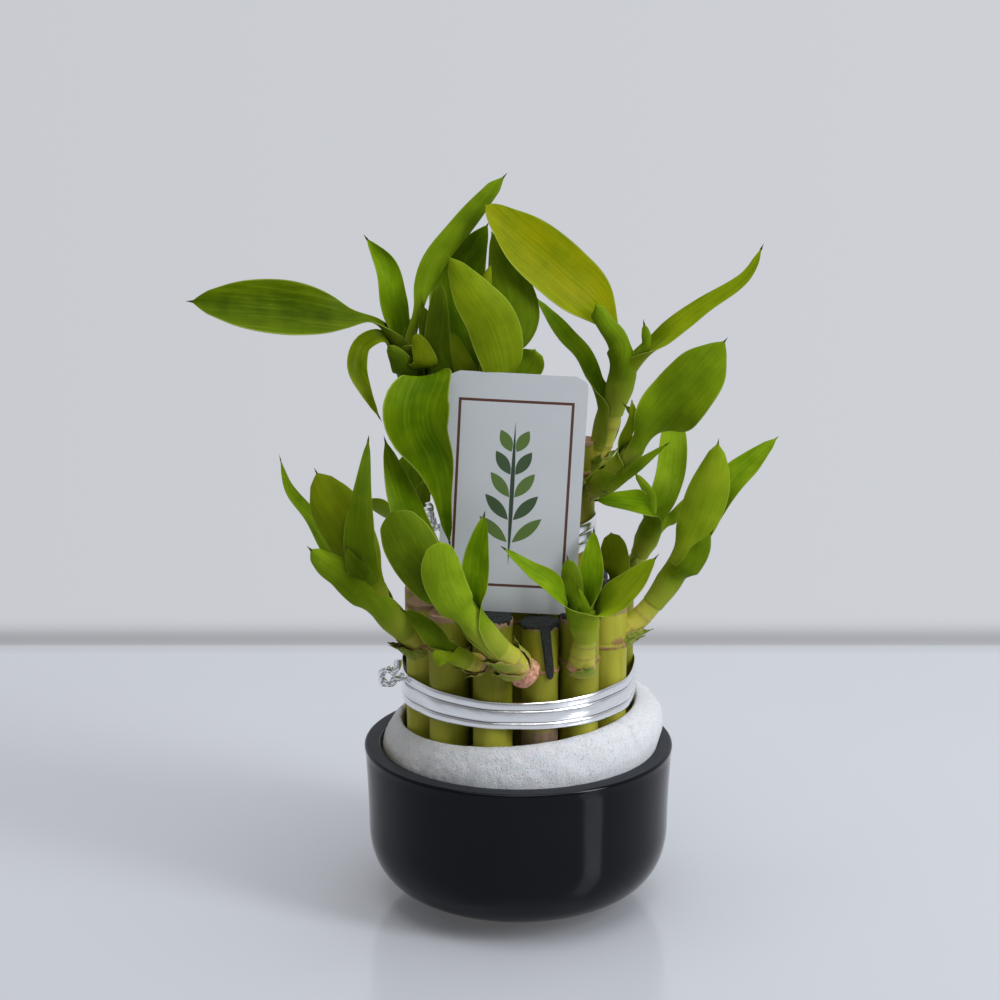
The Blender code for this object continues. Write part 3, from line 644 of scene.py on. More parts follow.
def leaf_material():
    """Parallel veins, a pale margin, a dry dark tip, and a paler sheath at the bottom."""
    paint = Paint("leaf_look", Specular_IOR_Level=0.02)
    edge, along, vein = abs(paint.layer("across")), paint.layer("along"), paint.layer("vein")
    tone = paint.layer("tone")
    spot = paint.place()
    fine, wide = cloud(spot, 1.6, 3.0), cloud(spot, 9.0, 2.0)
    patch = remap(wide, 0.35, 0.65)
    dark = mix(patch, (0.026, 0.060, 0.0005), (0.046, 0.095, 0.001))
    middle = mix(patch, (0.085, 0.17, 0.001), (0.145, 0.245, 0.002))
    light = mix(patch, (0.22, 0.36, 0.008), (0.33, 0.48, 0.02))
    color = mix(remap(tone, -1.0, 0.0), dark, middle)
    color = mix(remap(tone, 0.0, 1.0), color, light)
    gold = mix(fine, (0.24, 0.255, 0.001), (0.28, 0.27, 0.002))
    color = mix(paint.layer("yellow") * spread(wide, 0.5, 1.0), color, gold)
    run = add_node("ShaderNodeCombineXYZ", {"X": vein, "Y": along * 5.0, "Z": tone * 40.0})
    streaks = cloud(run, 1.3, 4.0, 0.6)
    color = mix(remap(streaks, 0.48, 0.66, 0.0, 0.32), color, (0.5, 0.62, 0.4), "MULTIPLY")
    color = mix(remap(streaks, 0.50, 0.34, 0.0, 0.12), color, (0.30, 0.40, 0.02))
    stripe = remap(maths("SINE", vein * 4.4), -1.0, 1.0)
    color = mix(stripe * 0.10, color, (0.25, 0.4, 0.2), "MULTIPLY")
    color = mix(remap(edge, 0.3, 1.0) * 0.20, color, (0.19, 0.27, 0.003))
    sheath = remap(along + spread(wide, -0.1, 0.1), 0.15, -0.5)
    color = mix(sheath * 0.7, color, (0.34, 0.38, 0.04))
    color = mix(remap(edge, 0.94, 0.99) * 0.5, color, (0.40, 0.48, 0.09))
    dry = remap(paint.layer("tip") + spread(fine, -0.2, 0.2), 0.45, 0.75)
    color = mix(dry, color, (0.030, 0.026, 0.008))
    back = 1.0 - paint.layer("upper")
    color = mix(back * 0.2, color, (0.21, 0.27, 0.015))
    normal = bumped(wide, 0.6, 0.3, bumped(stripe, 0.03, 0.3))
    return paint.finished(color, spread(fine, 0.30, 0.42) + back * 0.08, normal)


def scale_material():
    """Papery scales at the bottom of a shoot: pale, ribbed and browning at the margin."""
    paint = Paint("scale_look", Specular_IOR_Level=0.15)
    fine = cloud(paint.place(), 1.4, 4.0, 0.6)
    color = mix(remap(paint.layer("along"), -0.6, 0.6), (0.42, 0.40, 0.07), (0.17, 0.26, 0.012))
    color = mix(remap(fine, 0.45, 0.7, 0.0, 0.5), color, (0.36, 0.34, 0.06))
    ribs = remap(maths("SINE", paint.layer("vein") * 7.0), -1.0, 1.0)
    color = mix(ribs * 0.25, color, (0.3, 0.35, 0.2), "MULTIPLY")
    edge = abs(paint.layer("across")) + spread(fine, -0.1, 0.1)
    color = mix(remap(edge, 0.84, 1.0) * 0.8, color, (0.42, 0.28, 0.13))
    color = mix(remap(paint.layer("tip") + fine, 0.9, 1.2), color, (0.22, 0.12, 0.06))
    return paint.finished(color, spread(fine, 0.42, 0.6), bumped(ribs, 0.08, 0.4))


def wax_material():
    paint = Paint("black_wax_look", Specular_IOR_Level=0.5)
    lumps = cloud(paint.place(), 1.0, 5.0, 0.75)
    color = mix(remap(lumps, 0.5, 0.75), (0.004, 0.006, 0.005), (0.03, 0.038, 0.03))
    return paint.finished(color, spread(lumps, 0.25, 0.6), bumped(lumps, 0.9, 1.0))


def printed_blade(spot, centre, half_length, half_width, angle):
    """1 inside a pointed printed leaf on the tag."""
    local = add_node("ShaderNodeMapping", {"Vector": spot, "Location": (*centre, 0.0),
                                           "Rotation": (0.0, 0.0, angle),
                                           "Scale": (half_length, half_width, 1.0)},
                     vector_type="TEXTURE")
    x, y, _ = axes(local)
    return maths("LESS_THAN", x * x + abs(y), 1.0)


def tag_material():
    """White card with a plain printed border and a spray of leaves."""
    paint = Paint("tag_look", Specular_IOR_Level=0.45)
    x, y, front = paint.layer("print_x"), paint.layer("print_y"), paint.layer("front")
    spot = add_node("ShaderNodeCombineXYZ", {"X": x, "Y": y})
    fibre = cloud(paint.place(), 0.6, 3.0)
    color = mix(cloud(paint.place(), 15.0, 2.0), (0.54, 0.56, 0.57), (0.60, 0.62, 0.63))
    ring = abs(maths("MAXIMUM", abs(x) - (TAG_WIDTH / 2 - 4.5), abs(y) - (TAG_HEIGHT / 2 - 9.0)))
    color = mix(maths("LESS_THAN", ring, 0.45) * front, color, (0.10, 0.035, 0.02))
    for pair in range(5):
        opening = math.radians(48 - 5 * pair)
        reach = 6.2 - 0.55 * pair
        for side in (-1, 1):
            centre = (side * (0.8 + reach * math.sin(opening)),
                      -16.0 + 7.5 * pair + reach * math.cos(opening))
            mask = printed_blade(spot, centre, reach, 1.9, QUARTER - side * opening)
            green = (0.10, 0.17, 0.03) if (pair + side) % 2 else (0.045, 0.085, 0.03)
            color = mix(mask * front, color, green)
    stem = printed_blade(spot, (0.0, 0.0), 24.0, 0.7, QUARTER)
    color = mix(stem * front, color, (0.03, 0.055, 0.03))
    return paint.finished(color, spread(fibre, 0.32, 0.42), bumped(fibre, 0.02, 0.3))


def table_material():
    # painted light: the table glows faintly, which lightens the shadows on it
    paint = Paint("table_look", Specular_IOR_Level=0.5, Emission_Color=(0.55, 0.56, 0.59, 1.0),
                  Emission_Strength=0.11)
    spot = paint.place()
    haze = cloud(spot, 160.0, 2.0)
    _, y, _ = axes(spot)
    color = mix(haze, (0.500, 0.515, 0.545), (0.528, 0.543, 0.573))
    # painted shade: the table is painted darker towards the front, on the camera's side
    color = mix(remap(y, 260.0, -250.0, 0.0, 0.12), color, (0.0, 0.0, 0.0))
    # painted shade: a darker strip along the table's back edge
    color = mix(remap(y, (TABLE_BACK - 0.014) / MM, TABLE_BACK / MM), color, (0.42, 0.43, 0.45))
    return paint.finished(color, spread(haze, 0.10, 0.16))


# ---------------------------------------------------------------- pot and foam

def pot_profile(low, high):
    """(radius, height) of the glazed pot, from under the foot to the floor of the hollow."""
    lip_radius, height = (high[0] - low[0]) / 2, high[2]
    body, foot, mouth = lip_radius - 1.3, lip_radius - 25.3, lip_radius - 5.9
    profile = [(foot - 4.0, 0.9), (foot - 3.0, 0.1), (foot - 2.4, 0.0), (foot - 0.6, 0.0),
               (foot - 0.1, 0.3), (foot, 1.0), (foot + 0.1, 3.0), (foot + 0.6, 3.3)]
    reach = body - foot - 1.5
    for step in range(1, 25):
        angle = QUARTER * step / 24
        profile.append((foot + 1.5 + reach * math.sin(angle) ** 0.85,
                        4.0 + 23.8 * (1 - math.cos(angle) ** 0.85)))
    for step in range(1, 13):
        share = step / 12
        profile.append((body + 1.1 * share ** 1.6, 27.8 + (height - 29.6) * share))
    for degrees in range(0, 91, 10):
        angle = math.radians(degrees)
        profile.append((lip_radius - LIP_EDGE + LIP_EDGE * math.cos(angle),
                        height - 0.1 - LIP_EDGE + LIP_EDGE * math.sin(angle)))
    profile += [(lip_radius - 2.4, height), (mouth + 1.2, height), (mouth + 0.35, height - 0.2),
                (mouth, height - 0.8)]
    for step in range(0, 13):
        angle = QUARTER * (1 - step / 12)
        profile.append((HOLLOW_FLOOR_RADIUS + (mouth - HOLLOW_FLOOR_RADIUS) * math.sin(angle),
                        HOLLOW_FLOOR + 21.0 * (1 - math.cos(angle))))
    return profile


def make_pot(material):
    low, high = box_mm("pot")
    points, faces = tube([[level_way(angle) * radius + UP * z for angle in turns(POT_SIDES)]
                          for radius, z in pot_profile(low, high)])
    rim = smooth(points[:, 2], high[2] - 0.2, high[2] - 0.1)
    make_piece("glazed_pot", points, faces, material, "black_glaze", ["pot"], 50, rim=rim,
               foot=points[:, 2] < GLAZE_BOTTOM)


def foam_section(lean, low, high):
    """One side of the foam ring: a steep slope on the left, a round shoulder on the right."""
    outer, bottom = FOAM_OUTER, low[2]
    inner = outer - FOAM_WIDTH
    top = high[2] - 7.1 + FOAM_TILT * lean
    right = max(0.0, lean)
    width = outer - 0.1 + 3.0 * right ** 1.5 - inner - 1.2
    start = FOAM_EDGE + 6.0 * right ** 2
    power = 0.85 + 0.75 * smooth(-lean, 0.2, 0.95)
    section = [(inner, bottom), (outer, bottom), (outer, 40.0), (outer, 52.0)]
    for step in range(0, 19):
        angle = QUARTER * step / 18
        section.append((inner + 1.2 + width * math.cos(angle) ** power,
                        start + (top - start) * math.sin(angle) ** power))
    return section + [(inner + 0.6, top - 0.2), (inner + 0.2, top - 0.7), (inner, top - 1.6),
                      (inner, top - 5.0), (inner, 52.0), (inner, 42.0)]


def make_foam(material):
    """A hand-cut foam ring that hugs the stalks and stands higher on its right side."""
    low, high = box_mm("foam_collar")
    rings, damp, stain = [], [], []
    for angle in turns(FOAM_SIDES):
        way = level_way(angle)
        lean = way[0]
        nick = bump(angle, FOAM_NICK, 0.022)
        ring = []
        for radius, z in foam_section(lean, low, high):
            point = way * radius + UP * z
            if z > FOAM_EDGE - 0.1:
                lump = 0.30 * rough(point, 5.0) + 0.22 * rough(point, 1.5) - 0.9 * nick * (z > 62)
                point = point + lump * (way + 0.8 * UP)
            ring.append(point)
            # painted shade: stronger the further the side turns to the left, away from the light
            damp.append(smooth(-lean, 0.1, 0.95))
            stain.append(smooth(-lean, 0.75, 0.97) * (1 - smooth(z, FOAM_EDGE, FOAM_EDGE + 3.0)))
        rings.append(ring)
    points, faces = tube(rings, wrap_rows=True)
    piece = make_piece("foam_ring", points, faces, material, "white_foam", ["foam_collar"], 70,
                       damp=damp, stain=stain)


# ---------------------------------------------------------------- stalks

def ring_centres(node, degrees):
    """Centres of a ring of stalks, whose radius comes from a CAD stalk with no shoots."""
    low, high = box_mm(node)
    radius = np.linalg.norm((low + high)[:2] / 2)
    return [(radius * math.sin(math.radians(t)), -radius * math.cos(math.radians(t)))
            for t in degrees]


def stalk_levels(bottom, top, nodes):
    spans = [np.arange(bottom, top - 0.8, STALK_STEP), (top - 0.7, top - 0.3)]
    spans += [np.arange(node - NODE_REACH, node + NODE_REACH, NODE_STEP) for node in nodes]
    return np.unique(np.concatenate(spans).round(3))


def stalk_radius(z, angle, nodes, seed, base):
    """A plain stretch swells a little below each node, whose scar is a thin raised ring."""
    radius = base + 0.10 * math.cos(2 * angle + seed) + 0.08 * rough((seed * 7, z * 0.1, 0.0), 1.0)
    for node in nodes:
        radius += 0.22 * bump(z, node - 1.0, 1.8) + 0.42 * bump(z, node, 0.55)
        radius -= 0.18 * bump(z, node + 0.9, 0.5)
        radius += 0.10 * bump(z, node, 1.2) * rough(level_way(angle) * 3 + UP * z, 1.0)
    return radius


def make_stalk(node, centre, bottom, top, rings_at, material, seed, tone, bounce_light=0.45,
               base=STALK_RADIUS, bark=0.0, scars=()):
    """A cut stalk with node rings, in place of a CAD node. Its top is slightly dished."""
    middle = np.array((*centre, 0.0))
    levels = stalk_levels(bottom, top, rings_at)
    around = turns(STALK_SIDES)
    rings = [[middle + level_way(a) * stalk_radius(z, a, rings_at, seed, base) + UP * z
              for a in around] for z in levels]
    for radius, drop in ((6.35, 0.0), (5.6, 0.15), (3.6, 0.5), (1.2, 0.65)):
        ways = [level_way(a) * radius * base / STALK_RADIUS for a in around]
        rings.append([middle + way + UP * (top - drop + 0.25 * rough(way + UP * seed, 2.0))
                      for way in ways])
    points, faces = tube(rings)
    heights = np.repeat([*levels] + [top] * (len(rings) - len(levels)), STALK_SIDES)
    angles = np.tile(around, len(rings))
    ring = np.max([bump(heights, level, 0.85) for level in rings_at], axis=0)
    for toward, height in scars:
        near = bump((angles - math.radians(toward) + math.pi) % FULL_TURN, math.pi, 0.7)
        ring = np.maximum(ring, near * bump(heights, height, 2.6))
    bark = bark * (heights < BARK_TOP) * smooth(-np.sin(angles), -0.6, 0.2)
    # painted light: the stalk's tone grows paler towards its bottom
    make_piece(node.replace("stalk", "stalk_look"), points, faces, material, "stalk", [node], 50,
               ring=ring, cut=smooth(heights, top - 2.4, top - 0.6), bark=bark,
               tone=tone + bounce_light * smooth(heights, top - 25, bottom + 50))


def wax_profile(a, top, seed, run):
    """Section of a wax cap at one side: over the cut, down its skirt and back under the cap."""
    uneven = rough(level_way(a) * 2.2 + UP * seed, 1.0)
    edge = 6.5 + 0.7 * uneven
    skirt = 0.7 + 3.0 * max(0.0, uneven)
    inside = 0.0
    if run:
        run_angle, run_length, half_width, _ = run
        off = (a - run_angle + math.pi) % FULL_TURN - math.pi
        inside = math.sqrt(max(1 - (off / half_width) ** 2, 0.0))
        skirt += run_length * inside ** 0.35
        edge = max(edge, 6.75 * min(1.0, 3 * inside))
    profile = [(0.15, top + 0.9)]
    profile += [(0.4 * step, top + 0.95 - 0.002 * step ** 2) for step in range(2, 14)]
    profile += [(edge - 0.4, top + 0.6), (edge, top + 0.1)]
    for step in range(1, 15):
        share = step / 14
        thick = 0.12 + inside * (0.45 + 0.55 * smooth(share, 0.7, 0.95))
        profile.append((edge + thick, top - 0.1 - (skirt - 0.5) * share))
    return profile + [(edge - 0.1, top - skirt), (5.9, top - skirt + 0.15), (5.5, top - 0.8),
                      (3.0, top - 0.9), (0.15, top - 0.9)]


def make_wax(name, centre, top, material, seed, run=None):
    """A lumpy black cap on a cut stalk, with an uneven skirt and perhaps one long run."""
    sections = []
    for a in turns(WAX_SIDES):
        section = []
        for radius, z in wax_profile(a, top, seed, run):
            slant = run[3] * smooth(top - z, 2.0, run[1]) if run else 0.0
            way = level_way(a + slant)
            point = np.array((*centre, z)) + way * radius
            lump = 0.30 * rough(point + UP * seed, 1.5) + 0.22 * rough(point - UP * seed, 0.6)
            section.append(point + lump * (radius > 0.5) * (way + 0.8 * UP))
        sections.append(section)
    count = len(sections[0])
    faces = grid_faces(WAX_SIDES, count, wrap_rows=True)
    faces += [tuple(range(0, WAX_SIDES * count, count)),
              tuple(range(WAX_SIDES * count - 1, 0, -count))]
    make_piece(name, np.reshape(sections, (-1, 3)), faces, material, sharp=80)


def uneven_step(number, factor):
    """One of four steps from -1.5 to 1.5."""
    return number * factor % 4 - 1.5


def make_stalks(stalk_look, wax_look, outer, inner):
    (_, _, bottom), (_, _, top) = box_mm("outer_stalk_07")
    for number, centre in enumerate(outer, 1):
        name = f"outer_stalk_{number:02d}"
        barky = number == BARK_STALK
        end = top - (0.0, 1.2, 0.4, 0.6)[number % 4] - 0.9
        node = OUTER_NODE + NODE_LIFTS.get(number, uneven_step(number, 5))
        make_stalk(name, centre, bottom, end, (node,), stalk_look, number * 1.7,
                   STALK_TONES_AND_LIGHT.get(number, 0.35), STALK_BOUNCE_LIGHT.get(number, 0.45),
                   BARK_RADIUS if barky else STALK_RADIUS, 1.0 * barky,
                   STALK_SCARS.get(number, ()))
        if number not in OUTER_WITHOUT_WAX:
            make_wax(name.replace("stalk", "wax"), centre, end, wax_look, number * 3.1,
                     WAX_RUN if barky else None)
    (_, _, bottom), (_, _, top) = box_mm("inner_stalk_5")
    end = top - 1.0
    for number, centre in enumerate(inner, 1):
        name = f"inner_stalk_{number}"
        nodes = (INNER_NODES[0] + uneven_step(number, 3), INNER_NODES[1] + uneven_step(number, 5))
        make_stalk(name, centre, bottom, end, nodes, stalk_look, 30 + number * 2.3,
                   0.35 + 0.12 * uneven_step(number, 5))
        if number not in INNER_WITHOUT_WAX:
            make_wax(name.replace("stalk", "wax"), centre, end, wax_look, 50 + number * 3.1)
    make_stalk("core_stalk", (0.0, 0.0), bottom, end, INNER_NODES, stalk_look, 77.0, 0.4)
    make_wax("core_wax", (0.0, 0.0), end, wax_look, 91.0)


# ---------------------------------------------------------------- ties and tag

def band_outline(centres, around):
    """The tight loop round a ring of stalks, with the way outward at each point."""
    ring = np.linalg.norm(centres[0])
    stops = sorted(math.atan2(y, x) % FULL_TURN for x, y in centres)
    stops = np.array([stops[-1] - FULL_TURN] + stops + [stops[0] + FULL_TURN])
    place = np.interp(around, stops, np.arange(len(stops)))
    spans = np.diff(stops)[np.minimum(place.astype(int), len(stops) - 2)]
    between = 1 - np.abs(2 * (place % 1.0) - 1)
    sag = TAUT * ring * (1 - np.cos(spans / 2)) * (1 - (1 - between) ** 2)
    reach = ring + RIBBON_GAP - sum(np.roll(sag, step) for step in range(-4, 5)) / 9
    ways = np.array([level_way(a) for a in around])
    return ways * reach[:, None], ways


def ridge(share, edges):
    """How far a ribbon stands out, and how dark its narrow furrow is painted as shade, at a share of
    its height.
    """
    i = min(int(np.searchsorted(edges, share, side="right")) - 1, len(edges) - 2)
    low, high = edges[i], edges[i + 1]
    inward = min(share - low, high - share)
    arch = 0.5 * (high - low) * math.sin(math.pi * (share - low) / (high - low))
    groove = 1 - smooth(inward, 0.0, 0.022) if 0.0 < share < 1.0 else 0.0
    return 0.12 + 0.30 * smooth(inward, 0.0, 0.045) + arch, groove


def make_band(name, centres, span, dip, edges, crumple, material):
    """Turns of flat ribbon with a stiff wire in each edge, pulled tight round the stalks."""
    low, high = span
    seams = np.array(edges[1:-1])[:, None] + (-0.02, 0, 0.02)
    heights = np.union1d(np.linspace(0.0, 1.0, 37), seams)
    offs, grooves = zip(*(ridge(h, edges) for h in heights))
    around = turns(RIBBON_STEPS)
    rings = []
    for turn, spot, way in zip(around, *band_outline(centres, around)):
        sway = 0.18 * math.sin(3 * turn) + 0.07 * math.sin(7 * turn)
        top = high - 0.2 - dip * max(0.0, -way[1]) ** 4
        ring = []
        for h, off in zip(heights, offs):
            z = low + 0.2 + (top - low - 0.2) * h + sway
            ring.append(spot + way * (off + crumple * rough(spot + UP * z * 2, 4.0)) + UP * z)
        for h in RIBBON_BACK:
            ring.append(spot - way * 0.05 + UP * (low + 0.35 + (top - low - 0.5) * h + sway))
        rings.append(ring)
    points, faces = tube(rings, wrap_rows=True)
    make_piece(f"{name}_ribbon", points, faces, material, "metal_ribbon", [f"{name}_tie"], 50,
               groove=np.tile([*grooves] + [0.0] * len(RIBBON_BACK), len(rings)))


def make_twist(name, route, rope_radius, strand_radius, pitch, material, flatten=1.0):
    """Two ends of ribbon twisted about each other along a route."""
    shares = np.linspace(0, 1, 90)
    places, ahead, length = even_points([np.array(p, float) for p in route], shares, samples=240)
    sides = carried(ahead, square_to(ahead[0], np.array((0.3, 0.2, 1.0))))
    for strand in (0, 1):
        rings = []
        for i, share in enumerate(shares):
            out = turned(sides[i], ahead[i], FULL_TURN * length * share / pitch + math.pi * strand)
            beside = np.cross(ahead[i], out)
            ring = []
            for a in turns(10):
                reach = strand_radius * (1 + 0.25 * rough((i * 0.35, a * 2.0, strand * 9.0), 1.0))
                ring.append(places[i] + out * (rope_radius + reach * flatten * math.cos(a))
                            + beside * reach * math.sin(a))
            rings.append(ring)
        points, faces = tube(rings)
        make_piece(f"{name}_{strand + 1}", points, faces, material, "metal_ribbon", sharp=60,
                   groove=0.0)


def make_ties(material, outer, inner):
    make_band("lower", outer, LOWER_TIE, 1.7, (0.0, 0.25, 0.70, 1.0), 0.07, material)
    make_band("upper", inner, UPPER_TIE, 0.0, (0.0, 0.36, 0.68, 1.0), 0.015, material)
    loop = [(-38.6, -10.3, 82.2), (-40.2, -11.4, 81.4)]
    for step in range(13):
        a = math.radians(-20 - 300 * step / 12)
        loop.append((-43.6 + 2.3 * math.cos(a), -12.0 - 0.08 * step, 82.5 + 2.7 * math.sin(a)))
    loop += [(-40.6, -13.2, 85.6), (-40.2, -12.8, 88.6)]
    make_twist("lower_twist", loop, 0.50, 0.85, 8.0, material)
    make_twist("upper_twist", ((-25.4, 0.0, 130.5), (-28.0, -0.6, 131.5), (-29.5, -2.0, 135.0),
                               (-30.0, -4.0, 139.5)), 1.0, 1.0, 5.5, material, 0.6)


def make_tag(material):
    """A thin card with rounded corners, slightly bowed, leaning clockwise."""
    low, high = box_mm("tag")
    middle = (low + high) / 2 - UP * TAG_DROP
    columns, rows = TAG_COLUMNS, TAG_ROWS
    half = TAG_WIDTH / 2
    grid = []
    for depth in (-TAG_THICKNESS / 2, TAG_THICKNESS / 2):
        for y in np.linspace(-1, 1, rows) * TAG_HEIGHT / 2:
            over = max(abs(y) - (TAG_HEIGHT / 2 - TAG_CORNER), 0.0)
            inset = TAG_CORNER - math.sqrt(max(TAG_CORNER ** 2 - over ** 2, 0.0))
            for x in np.linspace(-1, 1, columns) * (half - inset):
                grid.append((x, y, depth + 0.25 * (x / half) ** 2))
    x, y, depth = np.transpose(grid)
    across = x * math.cos(TAG_LEAN) + y * math.sin(TAG_LEAN)
    up = y * math.cos(TAG_LEAN) - x * math.sin(TAG_LEAN)
    points = middle + np.transpose((across, depth, up))
    make_piece("tag_card", points, sheet_faces(rows, columns), material, "tag_card", ["tag"], 50,
               print_x=x, print_y=y, front=np.arange(len(x)) < len(x) / 2)


# ---------------------------------------------------------------- shoots

def stem_at(shoot, share):
    """Centre, direction and radius of a shoot's stem at a share of its route."""
    share = min(max(share, 0.0), 1.0)
    centre, ahead = spline([np.array(p, float) for p in shoot["route"]], share)
    thick, thin = shoot["radii"]
    return centre, ahead, thick + (thin - thick) * share


def make_stem(name, shoot, material):
    """The round stem of a shoot, with a swollen foot and a faint ring at each old leaf."""
    side = square_to(stem_at(shoot, 0.0)[1], np.array((1.0, 0.2, 0.0)))
    around = turns(STEM_SIDES)
    shares = np.linspace(0, 1, STEM_ROWS)
    old = np.max([bump(shares, s, 0.012) for s in OLD_LEAVES], axis=0)
    foot = bump(shares, 0.0, 0.18)
    rings = []
    for i, share in enumerate(shares):
        centre, ahead, radius = stem_at(shoot, share)
        side = square_to(ahead, side)
        radius *= 1 + 0.10 * bump(share, 0.0, 0.12) + 0.05 * old[i]
        end = max((share - 0.93) / 0.075, (0.05 - share) / 0.052, 0.0)
        radius *= math.sqrt(max(1 - end ** 2, 0.02))
        ring = []
        for a in around:
            way = turned(side, ahead, a)
            point = centre + way * radius
            ring.append(point + way * (0.35 * rough(point, 2.0) * foot[i] + 0.12 * rough(point, 4.0)))
        rings.append(ring)
    points, faces = tube(rings)
    along, old, foot = (np.repeat(values, len(around)) for values in (shares, old, foot))
    make_piece(name, points, faces, material, "stalk", sharp=60, along=along,
               callus=shoot.get("callus", 0.25) * foot, ring=old)


def blade_half_width(t, widths):
    """Half the width at a share of the blade."""
    knee = WIDTH_SHARES[-1]
    if t <= knee:
        return through(t, WIDTH_SHARES, widths) / 2
    return widths[-1] / 2 * ((1 - t) / (1 - knee)) ** (0.5 if widths[-1] > BLUNT_WIDTH else 0.85)


def leaf_frames(shoot, share, points, face, look, layer_offset):
    """Rows of a leaf: place, direction, normal, share along (below 0 in the sheath), stem radius."""
    centre, ahead, radius = stem_at(shoot, share)
    first = np.array(points[0], float)
    outward = square_to(ahead, first - centre)
    start = centre + outward * (radius + layer_offset)
    rows = []
    for t in np.arange(SHEATH_ROWS) / SHEATH_ROWS:
        spot, way, reach = stem_at(shoot, share - look.get("sheath", 0.30) * (1 - t))
        out = square_to(way, outward)
        reach += 0.12 + (layer_offset - 0.12) * smooth(t, 0.0, 0.8)
        rows.append((spot + out * reach, way, -out, t - 1, reach))
    lead = np.linalg.norm(first - start) * look.get("lead", 0.5)
    route = [start - ahead * lead, start] + [np.array(p, float) for p in points]
    even = np.linspace(0, 1, LEAF_ROWS + 1)
    shares = 0.6 * (1 - np.cos(math.pi * even)) / 2 + 0.4 * even
    places, ways, length = even_points(route, shares, skip=1)
    normals = carried(ways, -outward)
    way, normal = ways[LEAF_ROWS // 2], normals[LEAF_ROWS // 2]
    wanted = square_to(way, np.array(face, float))
    if np.dot(wanted, normal) < 0:
        wanted = -wanted
    roll = math.atan2(np.dot(np.cross(normal, wanted), way), np.dot(normal, wanted))
    twist = math.radians(look.get("twist", 0.0))
    for spot, way, normal, t in zip(places, ways, normals, shares):
        spin = roll * smooth(t, 0.0, 0.45) + twist * smooth(t, 0.4, 1.0)
        rows.append((spot, way, turned(normal, way, spin), t, radius + layer_offset))
    return rows, length


def leaf_section(t, stem_radius, widths, length, look):
    """Half the width and half the bend of a leaf's section, rolled round the stem at first."""
    wrap, cup, opens = look.get("wrap", SHEATH_WRAP), look.get("cup", 0.45), look.get("open", 0.22)
    leaving = wrap - (SHEATH_WRAP - LEAVING_WRAP)
    if t < 0:
        half_angle = wrap - (wrap - leaving) * (t + 1) ** 2
        return half_angle * stem_radius, half_angle
    opening = smooth(t, 0.0, opens)
    half_angle = leaving + (cup - leaving) * smooth(t, 0.0, opens * 1.25)
    spike_length = SPIKE_LENGTH * look.get("spike", 1.0)
    flat = blade_half_width(min(t / (1 - spike_length / length), 1.0), widths)
    half_width = leaving * stem_radius * (1 - opening) + flat * opening
    spike = SPIKE_HALF_WIDTH * min(1.0, (1 - t) * length / spike_length)
    return max(half_width, spike, 0.06), half_angle


def make_leaf(name, shoot, leaf, layer_offset, material, replaces, seed):
    """A leaf with a sheath round the stem, a cupped and slightly wavy blade, and a fine point."""
    _, share, points, widths, face, look = leaf
    rows, length = leaf_frames(shoot, share, points, face, look, layer_offset)
    dryness = max(0.0, min(1.0, look.get("spike", 1.0) * 1.2 - 0.2))
    upper, lower, marks = [], [], []
    for spot, way, normal, t, stem_radius in rows:
        side = np.cross(way, normal)
        half_width, half_angle = leaf_section(t, stem_radius, widths, length, look)
        fade = min(1.0, 0.25 + half_width / 3.0)
        wave = look.get("wave", 0.35) * smooth(t, 0.1, 0.4) * fade
        tip = dryness * smooth((t - 1) * length, -3.4, -1.0)
        for v in np.linspace(-1, 1, LEAF_COLUMNS):
            a = v * half_angle
            ripple = math.sin(FULL_TURN * (2.2 * t + 0.31 * seed + 0.25 * np.sign(v)))
            point = (spot + half_width / half_angle * (side * math.sin(a) + normal * (1 - math.cos(a)))
                     + normal * wave * abs(v) ** 1.5 * ripple)
            facing = normal * math.cos(a) - side * math.sin(a)
            half_thick = facing * LEAF_THICKNESS * (1 - 0.55 * v * v) * fade / 2
            upper.append(point + half_thick)
            lower.append(point - half_thick)
            marks.append((t, v, v * half_width, tip))
    along, across, vein, tip = np.tile(np.transpose(marks), 2)
    faces = [face[::-1] for face in sheet_faces(len(rows), LEAF_COLUMNS)]
    make_piece(name, upper + lower, faces, material, "leaf", replaces, 60, along=along,
               across=across, vein=vein, tip=tip, upper=np.arange(len(tip)) < len(tip) / 2,
               tone=look["tone"], yellow=look.get("yellow", 0.0))


def make_scale(name, shoot, scale, layer_offset, material, seed):
    """A short papery scale that clasps the stem, its point standing off a little."""
    share, turn, length, width = scale
    centre, ahead, radius = stem_at(shoot, share)
    out = turned(square_to(ahead, np.array((1.0, 0.0, 0.0))), ahead, math.radians(turn))
    start = centre + out * (radius + layer_offset)
    leaf = blade(name, share, (start + ahead * length * 0.5 + out * 0.5,
                               start + ahead * length + out * 1.6),
                 width * np.array((1.0, 1.0, 0.85, 0.6, 0.4, 0.2)), face=-out, cup=1.0, wrap=1.5,
                 sheath=0.08, wave=0.5, lead=0.4, open=0.5, spike=0.6)
    make_leaf(name, shoot, leaf, layer_offset, material, (), seed)


def leaf_names(shoot_name, name):
    """The name of a leaf's piece, and the CAD nodes that it stands for."""
    kind, _, number = name.partition("_")
    if kind in ("young", "small"):
        return f"{kind}_leaf_{shoot_name}" + (f"_{number}" if number else ""), []
    return f"blade_{shoot_name}_{name}", [f"leaf_{shoot_name}_{name}"]


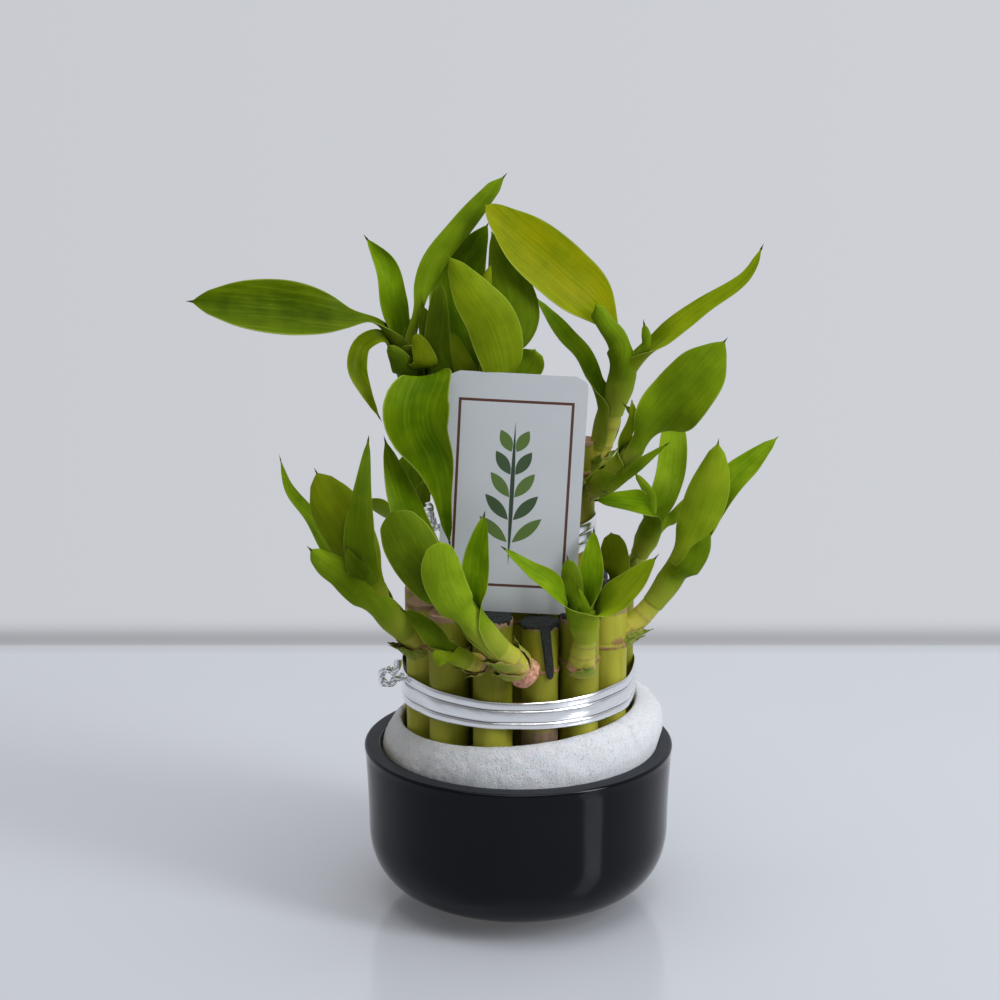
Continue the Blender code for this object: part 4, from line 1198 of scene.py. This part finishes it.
def make_shoots(leaf_look, scale_look, stem_look):
    for number, (shoot_name, shoot) in enumerate(SHOOTS.items()):
        make_stem(f"stem_{shoot_name}", shoot, stem_look)
        leaves = sorted(shoot["leaves"], key=lambda leaf: leaf[1])
        for i, leaf in enumerate(leaves):
            name, replaces = leaf_names(shoot_name, leaf[0])
            offset = SHEATH_OFFSET + LAYER_STEP * min(len(leaves) - 1 - i, 3)
            make_leaf(name, shoot, leaf, offset, leaf_look, replaces, number * 3 + i)
        for i, scale in enumerate(shoot["scales"]):
            offset = SHEATH_OFFSET + SCALE_STEP * (len(shoot["scales"]) - i)
            make_scale(f"scale_{shoot_name}_{i + 1}", shoot, scale, offset, scale_look,
                       number * 5 + i)


# ---------------------------------------------------------------- studio

def make_table(material):
    data = bpy.data.meshes.new("table")
    corners = [(-2.5, -3.0, 0.0), (2.5, -3.0, 0.0), (2.5, TABLE_BACK, 0.0), (-2.5, TABLE_BACK, 0.0)]
    data.from_pydata(corners, [], [(0, 1, 2, 3)])
    data.materials.append(material)
    table = new_object("table", data)


def make_light(name, azimuth, elevation, distance, size, power, color):
    """A soft area light that aims at the plant's middle. Azimuth is counted from the front."""
    data = bpy.data.lights.new(name, "AREA")
    data.shape = "RECTANGLE"
    data.size, data.size_y = size
    data.energy = power
    data.color = color
    light = new_object(name, data)
    a, e = math.radians(azimuth), math.radians(elevation)
    way = Vector((math.sin(a) * math.cos(e), -math.cos(a) * math.cos(e), math.sin(e)))
    light.location = Vector((0.0, 0.0, 0.10)) + way * distance
    light.rotation_euler = way.to_track_quat("Z", "Y").to_euler()


def make_world():
    """A pale room, dimmer on the camera's side, with a soft painted shadow line behind the table's
    edge.
    """
    world = bpy.data.worlds.new("pale_room")
    bpy.context.scene.world = world
    world.use_nodes = True
    tree = world.node_tree
    x, y, z = axes(add_node("ShaderNodeTexCoord", {}, "Generated", tree))
    color = mix(remap(y, -0.2, 0.75), (0.23, 0.235, 0.25), (0.60, 0.615, 0.655))
    off = (z / maths("MAXIMUM", y, 0.05) - EDGE_SLOPE) / EDGE_BLUR
    # painted shadow: a soft dark line in the room just behind the table's back edge
    line = maths("POWER", 0.5, off * off)
    shade = remap(x, -0.25, 0.25, 0.965, 1.035) - line * 0.36
    color = mix(1.0, color, shade, "MULTIPLY")
    background = tree.nodes["Background"]
    tree.links.new(color.socket, background.inputs["Color"])
    background.inputs["Strength"].default_value = 1.0


def make_camera():
    data = bpy.data.cameras.new("camera")
    data.lens = CAMERA_LENS
    data.sensor_width = 36.0
    camera = new_object("camera", data)
    camera.location = CAMERA_PLACE
    camera.rotation_euler = (math.radians(90 - CAMERA_PITCH), 0.0, 0.0)
    bpy.context.scene.camera = camera


def make_studio():
    make_table(table_material())
    make_world()
    make_light("window", 58, 30, 1.7, (0.40, 1.0), 17.0, (0.92, 0.95, 1.0))
    make_light("sky", 30, 78, 1.5, (1.4, 1.4), 17.0, (0.97, 0.98, 1.0))
    make_camera()
    bpy.context.scene.view_settings.view_transform = "Standard"


def main():
    outer = ring_centres("outer_stalk_07", OUTER_TURNS)
    inner = ring_centres("inner_stalk_5", INNER_TURNS)
    make_pot(glaze_material())
    make_foam(foam_material())
    make_stalks(stalk_material(), wax_material(), outer, inner)
    make_ties(ribbon_material(), outer, inner)
    make_tag(tag_material())
    make_shoots(leaf_material(), scale_material(), stem_material())
    make_studio()


main()
